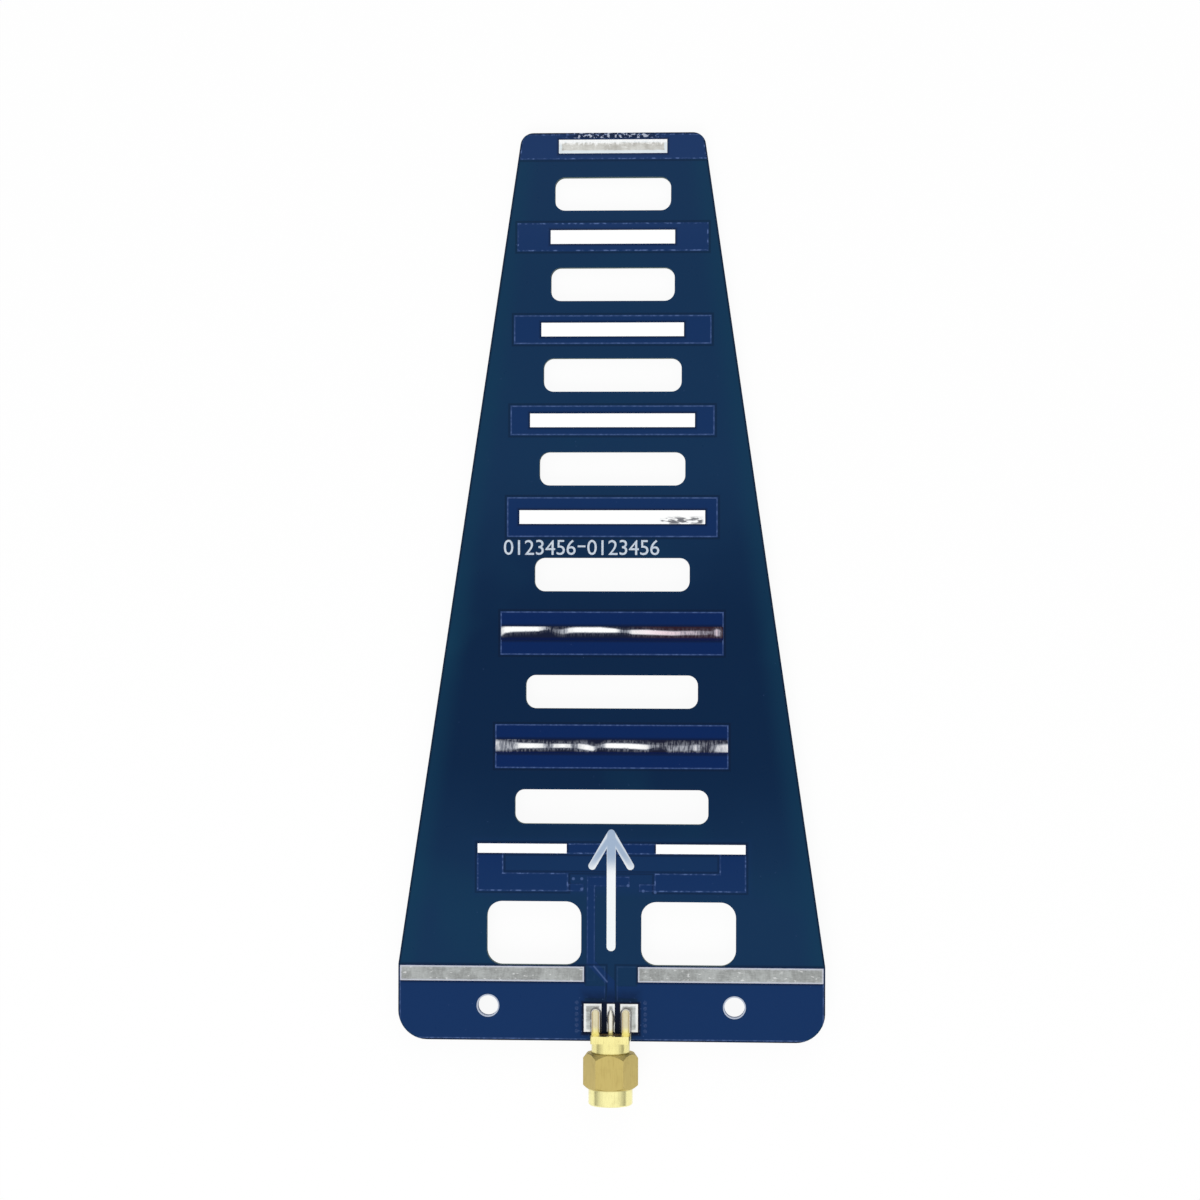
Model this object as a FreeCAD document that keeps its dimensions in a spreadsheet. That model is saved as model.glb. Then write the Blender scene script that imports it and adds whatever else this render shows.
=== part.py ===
import FreeCAD, Part

import math
import os

import Sketcher

# A printed directional antenna on a tapered glass-epoxy board: a reflector block and a folded driven
# element at the wide end, seven directors towards the narrow end, and a coaxial plug at the base edge.
# Millimetres. The frame: X across the board, Y the way the antenna points, Z up out of its front face.
# The origin is midway between the two mounting holes, in the plane of the finished back face.

doc = FreeCAD.newDocument("directional_antenna")

# Driving dimensions: alias, value and meaning
SIZES = (
    ("base_width", 71.7, "width of the board at its base"),
    ("tip_width", 30.6, "width of the board at its tip"),
    ("straight_side", 12.7, "height of the parallel sides before the taper starts"),
    ("base_corner_radius", 4.9, "corner radius at the base"),
    ("tip_corner_radius", 2.2, "corner radius at the tip"),
    ("laminate_thickness", 1.5, "glass-epoxy core"),
    ("copper_thickness", 0.035, "etched foil on each face"),
    ("mask_thickness", 0.02, "solder mask on each face"),
    ("tin_thickness", 0.03, "tin on a bare pad"),
    ("print_thickness", 0.012, "white printed ink"),
    ("edge_pullback", 0.2, "bare margin between copper and any board edge"),
    ("tin_inset", 0.1, "mask overlap on the rim of a tinned area"),
    ("hole_spacing", 41.4, "between the two mounting holes"),
    ("hole_diameter", 3.4, "mounting hole, clearance for a 3 mm screw"),
    ("hole_edge_distance", 5.8, "mounting hole centre to base edge"),
    ("hole_pullback", 0.35, "bare ring around a mounting hole"),
    ("window_width", 15.9, "each window beside the feed column"),
    ("window_height", 10.7, "each window"),
    ("window_radius", 2.6, "corner radius of a window"),
    ("window_offset", 12.97, "window centre to board centre line"),
    ("window_gap", 0.12, "reflector block to window"),
    ("slot_height", 5.6, "slot between two directors"),
    ("first_slot_height", 5.8, "slot between driven element and first director"),
    ("slot_radius", 1.7, "corner radius of a slot"),
    ("slot_width_1", 32.5, "slot before director 1"),
    ("slot_width_2", 28.9, "slot before director 2"),
    ("slot_width_3", 26.05, "slot before director 3"),
    ("slot_width_4", 24.5, "slot before director 4"),
    ("slot_width_5", 23.2, "slot before director 5"),
    ("slot_width_6", 20.8, "slot before director 6"),
    ("slot_width_7", 19.5, "slot before director 7"),
    ("slot_drop_1", 0.0, "slot below the middle of its spacing"),
    ("slot_drop_2", 0.34, "slot below the middle of its spacing"),
    ("slot_drop_3", -0.1, "slot below the middle of its spacing"),
    ("slot_drop_4", 0.0, "slot below the middle of its spacing"),
    ("slot_drop_5", 0.0, "slot below the middle of its spacing"),
    ("slot_drop_6", 0.17, "slot below the middle of its spacing"),
    ("slot_drop_7", 0.35, "slot below the middle of its spacing"),
    ("driven_centre", 29.1, "driven element centre line above the base edge"),
    ("spacing_1", 20.3, "driven element to director 1"),
    ("spacing_2", 19.0, "director 1 to director 2"),
    ("spacing_3", 19.5, "director 2 to director 3"),
    ("spacing_4", 16.25, "director 3 to director 4"),
    ("spacing_5", 15.25, "director 4 to director 5"),
    ("spacing_6", 15.55, "director 5 to director 6"),
    ("spacing_7", 15.2, "director 6 to director 7"),
    ("director_width_1", 39.2, "director 1"),
    ("director_width_2", 37.5, "director 2"),
    ("director_width_3", 35.4, "director 3"),
    ("director_width_4", 34.3, "director 4"),
    ("director_width_5", 33.2, "director 5"),
    ("director_width_6", 32.1, "director 6"),
    ("director_height_1", 7.4, "director 1"),
    ("director_height_2", 7.3, "director 2"),
    ("director_height_3", 6.7, "director 3"),
    ("director_height_4", 5.0, "director 4"),
    ("director_height_5", 4.85, "director 5"),
    ("director_height_6", 4.75, "director 6"),
    ("tip_director_foot", 2.15, "director 7 centre to its lower edge"),
    ("tip_margin", 2.3, "director 7 centre to the tip of the board"),
    ("tin_strip_height", 2.3, "tinned strip along a director"),
    ("tin_width_3", 31.2, "tinned strip on director 3"),
    ("tin_width_4", 27.7, "tinned strip on director 4"),
    ("tin_width_5", 23.95, "tinned strip on director 5"),
    ("tin_width_6", 20.9, "tinned strip on director 6"),
    ("tin_width_7", 18.2, "tinned strip on director 7"),
    ("tin_bead_crown", 0.16, "rise of the tin bead on directors 1 and 2"),
    ("driven_width", 45.2, "folded driven element"),
    ("driven_depth", 8.06, "folded driven element along the board"),
    ("driven_upper_bar", 1.78, "through conductor"),
    ("driven_lower_bar", 3.1, "fed conductors"),
    ("driven_end_bar", 4.44, "end links of the fold"),
    ("driven_feed_gap", 14.5, "between the inner ends of the fed conductors"),
    ("feed_tab_length", 2.6, "narrow tab from a fed conductor towards the centre line"),
    ("feed_tab_height", 1.3, "narrow tab"),
    ("driven_tin_length", 15.0, "tinned stretch at each end of the through conductor"),
    ("feed_width", 1.4, "feed line"),
    ("feed_bend", 9.75, "start of the feed line's diagonal above the base edge"),
    ("feed_offset", 3.4, "feed line left of the board centre line"),
    ("feed_bar_height", 1.7, "cross bar at the top of the feed line"),
    ("feed_bar_drop", 0.55, "cross bar below the top of the fed conductors"),
    ("feed_bar_end", 3.1, "right end of the cross bar from the centre line"),
    ("reflector_height", 12.55, "reflector block above the base edge"),
    ("reflector_gap", 8.88, "clear of front copper around the feed line"),
    ("reflector_tin_height", 2.53, "tinned strip along the top of the reflector block"),
    ("finger_bottom", 7.2, "ground finger beside the feed line"),
    ("finger_height", 2.0, "ground finger"),
    ("finger_gap", 1.9, "between the two ground fingers"),
    ("ground_pad_gap", 2.96, "between the two ground pads"),
    ("ground_pad_width", 3.16, "tinned ground pad"),
    ("pad_top", 6.25, "upper end of the connector pads above the base edge"),
    ("centre_pad_width", 1.5, "pad under the centre contact"),
    ("balun_slot_width", 1.0, "slot in the ground column on the back"),
    ("balun_slot_foot", 14.0, "lower end of that slot above the base edge"),
    ("via_diameter", 0.5, "through hole, filled with copper, joining both faces"),
    ("finger_via_offset", 3.95, "outer through hole in the left ground finger"),
    ("finger_via_pitch", 1.3, "pitch of the through holes in that finger"),
    ("axis_to_flange_side", 3.25, "half of the square flange"),
    ("flange_thickness", 1.25, "plug flange, let into the base edge"),
    ("flange_corner_radius", 0.3, "plug flange"),
    ("notch_clearance", 0.1, "each side of the flange in the board"),
    ("leg_pitch", 5.08, "between the legs of the plug body"),
    ("leg_width", 1.27, "leg"),
    ("leg_thickness", 1.1, "leg"),
    ("leg_length", 4.1, "leg behind the flange"),
    ("neck_diameter", 6.4, "plug body between flange and coupling nut"),
    ("neck_length", 1.75, "plug body"),
    ("journal_diameter", 5.3, "plug body where the coupling nut turns"),
    ("journal_length", 2.55, "plug body"),
    ("ring_groove_start", 1.05, "retaining ring groove from the neck"),
    ("ring_groove_width", 0.6, "retaining ring groove"),
    ("ring_groove_depth", 0.25, "retaining ring groove in the plug body"),
    ("ring_thickness", 0.5, "retaining ring along its axis"),
    ("ring_depth", 0.5, "retaining ring across its section"),
    ("ring_opening_angle", 24, "gap of the split retaining ring, in degrees"),
    ("tube_diameter", 4.58, "outer contact tube"),
    ("tube_length", 3.6, "outer contact tube"),
    ("insulator_diameter", 4.1, "insulator in the plug body"),
    ("contact_diameter", 1.27, "centre contact inside the insulator"),
    ("pin_diameter", 0.92, "mating pin"),
    ("pin_length", 2.0, "mating pin before the insulator's face"),
    ("pin_tip_length", 0.5, "cone at the end of the mating pin"),
    ("tail_diameter", 1.0, "tail of the centre contact on its pad"),
    ("tail_length", 4.0, "tail behind the flange"),
    ("tail_tip_length", 1.0, "cone at the end of the tail"),
    ("gasket_thickness", 0.9, "face seal inside the coupling nut"),
    ("gasket_diameter", 6.1, "face seal"),
    ("nut_across_flats", 8.0, "coupling nut"),
    ("nut_hex_length", 5.9, "hexagon of the coupling nut"),
    ("nut_rear_bevel", 0.9, "length of the turned bevel behind the hexagon"),
    ("nut_front_bevel", 0.5, "length of the turned bevel before the hexagon"),
    ("nut_bevel_diameter", 7.9, "end diameter of both bevels"),
    ("nut_collar_diameter", 7.4, "round front collar"),
    ("nut_collar_length", 2.8, "round front collar"),
    ("nut_collar_bevel", 0.22, "bevelled outer edge of the collar"),
    ("nut_thread_diameter", 6.35, "root of the nut's inner thread"),
    ("nut_mouth_diameter", 6.8, "flared mouth of the nut"),
    ("nut_mouth_length", 0.4, "flared mouth of the nut"),
    ("running_clearance", 0.05, "between the nut and what it turns on"),
    ("solder_reach", 0.32, "solder fillet around a leg on its pad"),
    ("solder_height", 0.4, "solder fillet up the side of a leg"),
    ("pin_solder_width", 1.3, "drop of solder around the tail"),
    ("pin_solder_length", 3.5, "drop of solder around the tail"),
    ("pin_solder_height", 0.9, "drop of solder around the tail"),
    ("arrow_foot", 15.1, "lower end of the printed arrow above the base edge"),
    ("arrow_length", 20.4, "printed arrow"),
    ("arrow_shaft_width", 1.5, "printed arrow"),
    ("arrow_head_stroke", 1.28, "printed arrow"),
    ("arrow_head_half_span", 3.2, "printed arrow"),
    ("arrow_head_drop", 5.5, "printed arrow"),
)

# How many of each
SLOT_COUNT = 7
VIAS_PER_FINGER = 2

sheet = doc.addObject("Spreadsheet::Sheet", "Sizes")
for row, (alias, value, meaning) in enumerate(SIZES, start=1):
    sheet.set(f"A{row}", alias)
    sheet.set(f"B{row}", str(value))
    sheet.set(f"C{row}", meaning)
    sheet.setAlias(f"B{row}", alias)
doc.recompute()

# Levels through the board, from the finished back face up
LAMINATE_BOTTOM = "(Sizes.copper_thickness + Sizes.mask_thickness)"
LAMINATE_TOP = f"({LAMINATE_BOTTOM} + Sizes.laminate_thickness)"
COPPER_TOP = f"({LAMINATE_TOP} + Sizes.copper_thickness)"
BACK_COPPER_BOTTOM = "Sizes.mask_thickness"
FRONT_PAD_LEVEL = f"({COPPER_TOP} + Sizes.tin_thickness)"
BACK_PAD_LEVEL = "(Sizes.mask_thickness - Sizes.tin_thickness)"
PRINT_TOP = f"({COPPER_TOP} + Sizes.mask_thickness + Sizes.print_thickness)"
AXIS_LEVEL = f"({FRONT_PAD_LEVEL} + Sizes.tail_diameter / 2)"

# Places along the board, from the base edge
DRIVEN_TOP = "(Sizes.driven_centre + Sizes.driven_depth / 2)"
DRIVEN_FOOT = "(Sizes.driven_centre - Sizes.driven_depth / 2)"
ARM_TOP = f"({DRIVEN_FOOT} + Sizes.driven_lower_bar)"
WINDOW_FOOT = "(Sizes.reflector_height + Sizes.window_gap)"
WINDOW_TOP = f"({WINDOW_FOOT} + Sizes.window_height)"
DIRECTOR_CENTRES = ["Sizes.driven_centre"]
for number in range(1, SLOT_COUNT + 1):
    DIRECTOR_CENTRES.append(f"({DIRECTOR_CENTRES[-1]} + Sizes.spacing_{number})")
BOARD_LENGTH = f"({DIRECTOR_CENTRES[-1]} + Sizes.tip_margin)"
PAD_FOOT = "(Sizes.flange_thickness + Sizes.edge_pullback)"

# Places across the board, from its centre line
COLUMN_HALF_WIDTH = "(Sizes.window_offset - Sizes.window_width / 2 - Sizes.edge_pullback)"
NOTCH_HALF_WIDTH = "(Sizes.axis_to_flange_side + Sizes.notch_clearance)"
TAB_TIP = "(Sizes.driven_feed_gap / 2 - Sizes.feed_tab_length)"
PAD_MIDDLE = "(Sizes.ground_pad_gap / 2 + Sizes.ground_pad_width / 2)"

SIDES = (("left", -1), ("right", 1))


def number_of(expression):
    """The present value of an expression on the sheet."""
    return float(sheet.evalExpression(str(expression)))


def place(item, across="0", along="0", up="0"):
    """Put an item in the frame, measured from the middle of the base edge and the back face."""
    item.setExpression("Placement.Base.x", across)
    item.setExpression("Placement.Base.y", f"{along} - Sizes.hole_edge_distance")
    item.setExpression("Placement.Base.z", up)


def new_body(label, across="0", along="0", up="0"):
    body = doc.addObject("PartDesign::Body", label)
    body.Label = label
    place(body, across, along, up)
    return body


def new_sketch(body, name, plane="XY_Plane", offset=None):
    """A sketch on one of the body's own origin planes, moved along the plane's normal."""
    sketch = body.newObject("Sketcher::SketchObject", f"{body.Label}_{name}")
    support = [feature for feature in body.Origin.OriginFeatures if feature.Role == plane][0]
    sketch.AttachmentSupport = [(support, "")]
    sketch.MapMode = "FlatFace"
    if offset is not None:
        sketch.setExpression("AttachmentOffset.Base.z", offset)
    return sketch


def bind(sketch, constraint, expression):
    """Add a dimension and tie it to an expression on the sheet."""
    index = sketch.addConstraint(constraint)
    name = f"size_{index}"
    sketch.renameConstraint(index, name)
    sketch.setExpression(f"Constraints.{name}", str(expression))


def locate(sketch, geometry, point, across, along):
    """Fix a point of the sketch from its origin."""
    x = number_of(across)
    y = number_of(along)
    bind(sketch, Sketcher.Constraint("DistanceX", -1, 1, geometry, point, x), across)
    bind(sketch, Sketcher.Constraint("DistanceY", -1, 1, geometry, point, y), along)


def corner_arc(before, corner, after, radius):
    """The arc that rounds a corner, with its ends, and whether it turns left."""
    inward = (before - corner).normalize()
    outward = (after - corner).normalize()
    half_angle = inward.getAngle(outward) / 2
    tangent_length = radius / math.tan(half_angle)
    start = corner + inward * tangent_length
    end = corner + outward * tangent_length
    centre = corner + (inward + outward).normalize() * (radius / math.sin(half_angle))
    turns_left = (corner - before).cross(after - corner).z > 0
    first, last = (start, end) if turns_left else (end, start)
    first_angle = math.atan2(first.y - centre.y, first.x - centre.x)
    last_angle = math.atan2(last.y - centre.y, last.x - centre.x)
    if last_angle < first_angle:
        last_angle += 2 * math.pi
    circle = Part.Circle(centre, FreeCAD.Vector(0, 0, 1), radius)
    return Part.ArcOfCircle(circle, first_angle, last_angle), start, end, turns_left


def outline(sketch, corners):
    """Draw a closed outline through corners (across, along, radius); a radius of None is sharp."""
    points = [FreeCAD.Vector(number_of(x), number_of(y), 0) for x, y, _ in corners]
    count = len(corners)
    ends = []
    arcs = {}
    for index, (_, _, radius) in enumerate(corners):
        point = points[index]
        if radius is None:
            ends.append((point, point))
            continue
        arc, start, end, turns_left = corner_arc(
            points[index - 1], point, points[(index + 1) % count], number_of(radius))
        arcs[index] = (sketch.addGeometry(arc), turns_left)
        ends.append((start, end))
    lines = []
    for index in range(count):
        segment = Part.LineSegment(ends[index][1], ends[(index + 1) % count][0])
        lines.append(sketch.addGeometry(segment))
    for index, (across, along, radius) in enumerate(corners):
        incoming = lines[index - 1]
        leaving = lines[index]
        if radius is None:
            sketch.addConstraint(Sketcher.Constraint("Coincident", incoming, 2, leaving, 1))
            locate(sketch, leaving, 1, across, along)
            continue
        arc, turns_left = arcs[index]
        arc_start, arc_end = (1, 2) if turns_left else (2, 1)
        sketch.addConstraint(Sketcher.Constraint("Tangent", incoming, 2, arc, arc_start))
        sketch.addConstraint(Sketcher.Constraint("Tangent", arc, arc_end, leaving, 1))
        corner = sketch.addGeometry(Part.Point(points[index]), True)
        sketch.addConstraint(Sketcher.Constraint("PointOnObject", corner, 1, incoming))
        sketch.addConstraint(Sketcher.Constraint("PointOnObject", corner, 1, leaving))
        locate(sketch, corner, 1, across, along)
        bind(sketch, Sketcher.Constraint("Radius", arc, number_of(radius)), radius)


def rectangle(sketch, across, along, width, height, radius=None):
    """A rectangle about its centre, with round corners where a radius is given."""
    signs = ((-1, -1), (1, -1), (1, 1), (-1, 1))
    corners = []
    for sign_x, sign_y in signs:
        corner_x = f"{across} + {sign_x} * ({width}) / 2"
        corner_y = f"{along} + {sign_y} * ({height}) / 2"
        corners.append((corner_x, corner_y, radius))
    outline(sketch, corners)


def circle(sketch, across, along, diameter):
    centre = FreeCAD.Vector(number_of(across), number_of(along), 0)
    half = number_of(diameter) / 2
    index = sketch.addGeometry(Part.Circle(centre, FreeCAD.Vector(0, 0, 1), half))
    locate(sketch, index, 3, across, along)
    bind(sketch, Sketcher.Constraint("Diameter", index, half * 2), diameter)


def capsule(sketch, start, end, width):
    """A stroke with round ends between two points."""
    first = FreeCAD.Vector(number_of(start[0]), number_of(start[1]), 0)
    second = FreeCAD.Vector(number_of(end[0]), number_of(end[1]), 0)
    half = number_of(width) / 2
    direction = (second - first).normalize()
    side = FreeCAD.Vector(-direction.y, direction.x, 0) * half
    heading = math.atan2(direction.y, direction.x)
    normal = FreeCAD.Vector(0, 0, 1)
    quarter = math.pi / 2
    foot = sketch.addGeometry(
        Part.ArcOfCircle(Part.Circle(first, normal, half), heading + quarter, heading + 3 * quarter))
    head = sketch.addGeometry(
        Part.ArcOfCircle(Part.Circle(second, normal, half), heading - quarter, heading + quarter))
    right = sketch.addGeometry(Part.LineSegment(first - side, second - side))
    left = sketch.addGeometry(Part.LineSegment(second + side, first + side))
    sketch.addConstraint(Sketcher.Constraint("Tangent", foot, 2, right, 1))
    sketch.addConstraint(Sketcher.Constraint("Tangent", right, 2, head, 1))
    sketch.addConstraint(Sketcher.Constraint("Tangent", head, 2, left, 1))
    sketch.addConstraint(Sketcher.Constraint("Tangent", left, 2, foot, 1))
    locate(sketch, foot, 3, *start)
    locate(sketch, head, 3, *end)
    bind(sketch, Sketcher.Constraint("Radius", foot, half), f"{width} / 2")


def pad(body, sketch, length, reverse=False):
    feature = body.newObject("PartDesign::Pad", f"{sketch.Name}_pad")
    feature.Profile = sketch
    feature.Reversed = reverse
    feature.setExpression("Length", length)
    doc.recompute()
    return feature


def cut_through(body, sketch):
    """Cut a sketch's shapes through the whole body, both ways from its plane."""
    before = body.Shape.Volume
    feature = body.newObject("PartDesign::Pocket", f"{sketch.Name}_cut")
    feature.Profile = sketch
    feature.Type = "ThroughAll"
    feature.Midplane = True
    doc.recompute()
    if body.Shape.Volume >= before:
        raise ValueError(f"{feature.Name} removes nothing")
    return feature


def turn(body, sketch, feature_type="PartDesign::Revolution", angle="360"):
    """Turn a profile about the body's own Y axis, to add material or to take it away."""
    feature = body.newObject(feature_type, f"{sketch.Name}_turned")
    feature.Profile = sketch
    feature.ReferenceAxis = (sketch, ["V_Axis"])
    feature.setExpression("Angle", angle)
    doc.recompute()
    return feature


def slot_centre(number):
    """Midway between the elements below and above it, less its own drop."""
    below = DIRECTOR_CENTRES[number - 1]
    return f"({below} + Sizes.spacing_{number} / 2 - Sizes.slot_drop_{number})"


def board_outline(sketch):
    """The edge of the board: parallel sides, taper, round corners and the notch for the flange."""
    half_base = "Sizes.base_width / 2"
    half_tip = "Sizes.tip_width / 2"
    right_side = [
        (NOTCH_HALF_WIDTH, "Sizes.flange_thickness", None),
        (NOTCH_HALF_WIDTH, "0", None),
        (half_base, "0", "Sizes.base_corner_radius"),
        (half_base, "Sizes.straight_side", None),
        (half_tip, BOARD_LENGTH, "Sizes.tip_corner_radius"),
    ]
    left_side = [(f"-{x}", y, radius) for x, y, radius in reversed(right_side)]
    outline(sketch, right_side + left_side)


def routed_sheet(label, level, thickness):
    """A sheet with the board's outline, slots, windows and mounting holes."""
    body = new_body(label, up=level)
    sketch = new_sketch(body, "edge")
    board_outline(sketch)
    pad(body, sketch, thickness)
    for number in range(1, SLOT_COUNT + 1):
        height = "Sizes.first_slot_height" if number == 1 else "Sizes.slot_height"
        sketch = new_sketch(body, f"slot_{number}")
        rectangle(sketch, "0", slot_centre(number), f"Sizes.slot_width_{number}", height, "Sizes.slot_radius")
        cut_through(body, sketch)
    for side, sign in SIDES:
        sketch = new_sketch(body, f"window_{side}")
        rectangle(sketch, f"{sign} * Sizes.window_offset", f"{WINDOW_FOOT} + Sizes.window_height / 2",
                  "Sizes.window_width", "Sizes.window_height", "Sizes.window_radius")
        cut_through(body, sketch)
    sketch = new_sketch(body, "mounting_holes")
    for _, sign in SIDES:
        circle(sketch, f"{sign} * Sizes.hole_spacing / 2", "Sizes.hole_edge_distance", "Sizes.hole_diameter")
    cut_through(body, sketch)
    return body


def foil(label, corners, level=LAMINATE_TOP, thickness="Sizes.copper_thickness"):
    """A flat piece with one outline."""
    body = new_body(label, up=level)
    sketch = new_sketch(body, "outline")
    outline(sketch, corners)
    pad(body, sketch, thickness)
    return body


def box_corners(left, right, foot, top):
    return [(left, foot, None), (right, foot, None), (right, top, None), (left, top, None)]


def clear_mounting_holes(body, sides=SIDES):
    """Pull a foil back around the mounting holes."""
    sketch = new_sketch(body, "hole_rings")
    for _, sign in sides:
        circle(sketch, f"{sign} * Sizes.hole_spacing / 2", "Sizes.hole_edge_distance",
               "Sizes.hole_diameter + 2 * Sizes.hole_pullback")
    cut_through(body, sketch)


def director(number):
    """A plain rectangular director."""
    body = new_body(f"director_{number}", up=LAMINATE_TOP)
    sketch = new_sketch(body, "outline")
    rectangle(sketch, "0", DIRECTOR_CENTRES[number], f"Sizes.director_width_{number}",
              f"Sizes.director_height_{number}")
    pad(body, sketch, "Sizes.copper_thickness")
    return body


def tip_director():
    """The last director fills the tip of the board and follows its edge."""
    foot = f"({DIRECTOR_CENTRES[SLOT_COUNT]} - Sizes.tip_director_foot)"
    top = f"({BOARD_LENGTH} - Sizes.edge_pullback)"
    slope = f"((Sizes.base_width - Sizes.tip_width) / 2 / ({BOARD_LENGTH} - Sizes.straight_side))"
    half_tip = f"(Sizes.tip_width / 2 - Sizes.edge_pullback * (1 - {slope}))"
    half_foot = f"({half_tip} + ({top} - {foot}) * {slope})"
    radius = "Sizes.tip_corner_radius - Sizes.edge_pullback"
    corners = [
        (f"-{half_foot}", foot, None),
        (half_foot, foot, None),
        (half_tip, top, radius),
        (f"-{half_tip}", top, radius),
    ]
    return foil(f"director_{SLOT_COUNT}", corners)


def tin_strip(label, across, along, width, height, crown=None):
    """Tin on bare copper, flat or with a rounded top, padded along X from its cross-section."""
    body = new_body(label, across=across, along=along, up=COPPER_TOP)
    sketch = new_sketch(body, "section", plane="YZ_Plane")
    if crown is None:
        rectangle(sketch, "0", "Sizes.tin_thickness / 2", height, "Sizes.tin_thickness")
    else:
        bead_section(sketch, height, crown)
    feature = pad(body, sketch, width)
    feature.Midplane = True
    doc.recompute()
    return body


def bead_section(sketch, height, crown):
    """A flat foot, two low sides and an arc over them."""
    half = number_of(height) / 2
    side = number_of("Sizes.tin_thickness")
    rise = number_of(crown)
    corners = [FreeCAD.Vector(x, y, 0) for x, y in ((-half, side), (-half, 0), (half, 0), (half, side))]
    lines = [sketch.addGeometry(Part.LineSegment(corners[i], corners[i + 1])) for i in range(3)]
    top = sketch.addGeometry(Part.Arc(corners[3], FreeCAD.Vector(0, side + rise, 0), corners[0]))
    for first, second in zip(lines, lines[1:]):
        sketch.addConstraint(Sketcher.Constraint("Coincident", first, 2, second, 1))
    sketch.addConstraint(Sketcher.Constraint("Coincident", lines[2], 2, top, 1))
    sketch.addConstraint(Sketcher.Constraint("Coincident", top, 2, lines[0], 1))
    locate(sketch, lines[0], 2, f"-({height}) / 2", "0")
    locate(sketch, lines[2], 1, f"({height}) / 2", "0")
    sketch.addConstraint(Sketcher.Constraint("Vertical", lines[0]))
    locate(sketch, lines[2], 2, f"({height}) / 2", "Sizes.tin_thickness")
    radius = f"((({height}) / 2)^2 + ({crown})^2) / (2 * {crown})"
    bind(sketch, Sketcher.Constraint("Radius", top, number_of(radius)), radius)


def driven_element():
    """A folded dipole, open at the feed, with a narrow tab at each inner end."""
    half = "Sizes.driven_width / 2"
    gap = "Sizes.driven_feed_gap / 2"
    inner = "(Sizes.driven_width / 2 - Sizes.driven_end_bar)"
    under_bar = f"({DRIVEN_TOP} - Sizes.driven_upper_bar)"
    tab_top = f"({DRIVEN_FOOT} + Sizes.feed_tab_height)"
    right_side = [
        (inner, under_bar, None),
        (inner, ARM_TOP, None),
        (gap, ARM_TOP, None),
        (gap, tab_top, None),
        (TAB_TIP, tab_top, None),
        (TAB_TIP, DRIVEN_FOOT, None),
        (half, DRIVEN_FOOT, None),
        (half, DRIVEN_TOP, None),
    ]
    left_side = [(f"-{x}", y, radius) for x, y, radius in reversed(right_side)]
    return foil("driven_element", right_side + left_side)


def feed_line():
    """From the centre pad up, left on a diagonal, up the column, and right across the balun slot."""
    half = "(Sizes.feed_width / 2)"
    mitre = f"({half} * (sqrt(2) - 1))"
    pad_half = "Sizes.centre_pad_width / 2"
    bar_top = f"({ARM_TOP} - Sizes.feed_bar_drop)"
    bar_foot = f"({bar_top} - Sizes.feed_bar_height)"
    corners = [
        (pad_half, PAD_FOOT, None),
        (pad_half, "Sizes.pad_top", None),
        (half, "Sizes.pad_top", None),
        (half, f"Sizes.feed_bend + {mitre}", None),
        (f"{half} - Sizes.feed_offset", f"Sizes.feed_bend + Sizes.feed_offset + {mitre}", None),
        (f"{half} - Sizes.feed_offset", bar_foot, None),
        ("Sizes.feed_bar_end", bar_foot, None),
        ("Sizes.feed_bar_end", bar_top, None),
        (f"-{half} - Sizes.feed_offset", bar_top, None),
        (f"-{half} - Sizes.feed_offset", f"Sizes.feed_bend + Sizes.feed_offset - {mitre}", None),
        (f"-{half}", f"Sizes.feed_bend - {mitre}", None),
        (f"-{half}", "Sizes.pad_top", None),
        (f"-{pad_half}", "Sizes.pad_top", None),
        (f"-{pad_half}", PAD_FOOT, None),
    ]
    return foil("feed_line", corners)


def front_ground(side, sign):
    """One half of the reflector block, with its ground finger and connector pad."""
    outer = "(Sizes.base_width / 2 - Sizes.edge_pullback)"
    beside_notch = f"({NOTCH_HALF_WIDTH} + Sizes.edge_pullback)"
    inner = "(Sizes.reflector_gap / 2)"
    finger_tip = "(Sizes.finger_gap / 2)"
    finger_top = "(Sizes.finger_bottom + Sizes.finger_height)"
    pad_inner = "(Sizes.ground_pad_gap / 2)"
    pad_top = "(Sizes.pad_top + Sizes.tin_inset)"
    right_half = [
        (beside_notch, "Sizes.edge_pullback", None),
        (outer, "Sizes.edge_pullback", "Sizes.base_corner_radius - Sizes.edge_pullback"),
        (outer, "Sizes.reflector_height", None),
        (inner, "Sizes.reflector_height", None),
        (inner, finger_top, None),
        (finger_tip, finger_top, None),
        (finger_tip, "Sizes.finger_bottom", None),
        (inner, "Sizes.finger_bottom", None),
        (inner, pad_top, None),
        (pad_inner, pad_top, None),
        (pad_inner, PAD_FOOT, None),
        (beside_notch, PAD_FOOT, None),
    ]
    corners = [(f"{sign} * {x}", y, radius) for x, y, radius in right_half]
    body = foil(f"front_ground_{side}", corners)
    clear_mounting_holes(body, sides=((side, sign),))
    return body


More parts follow.
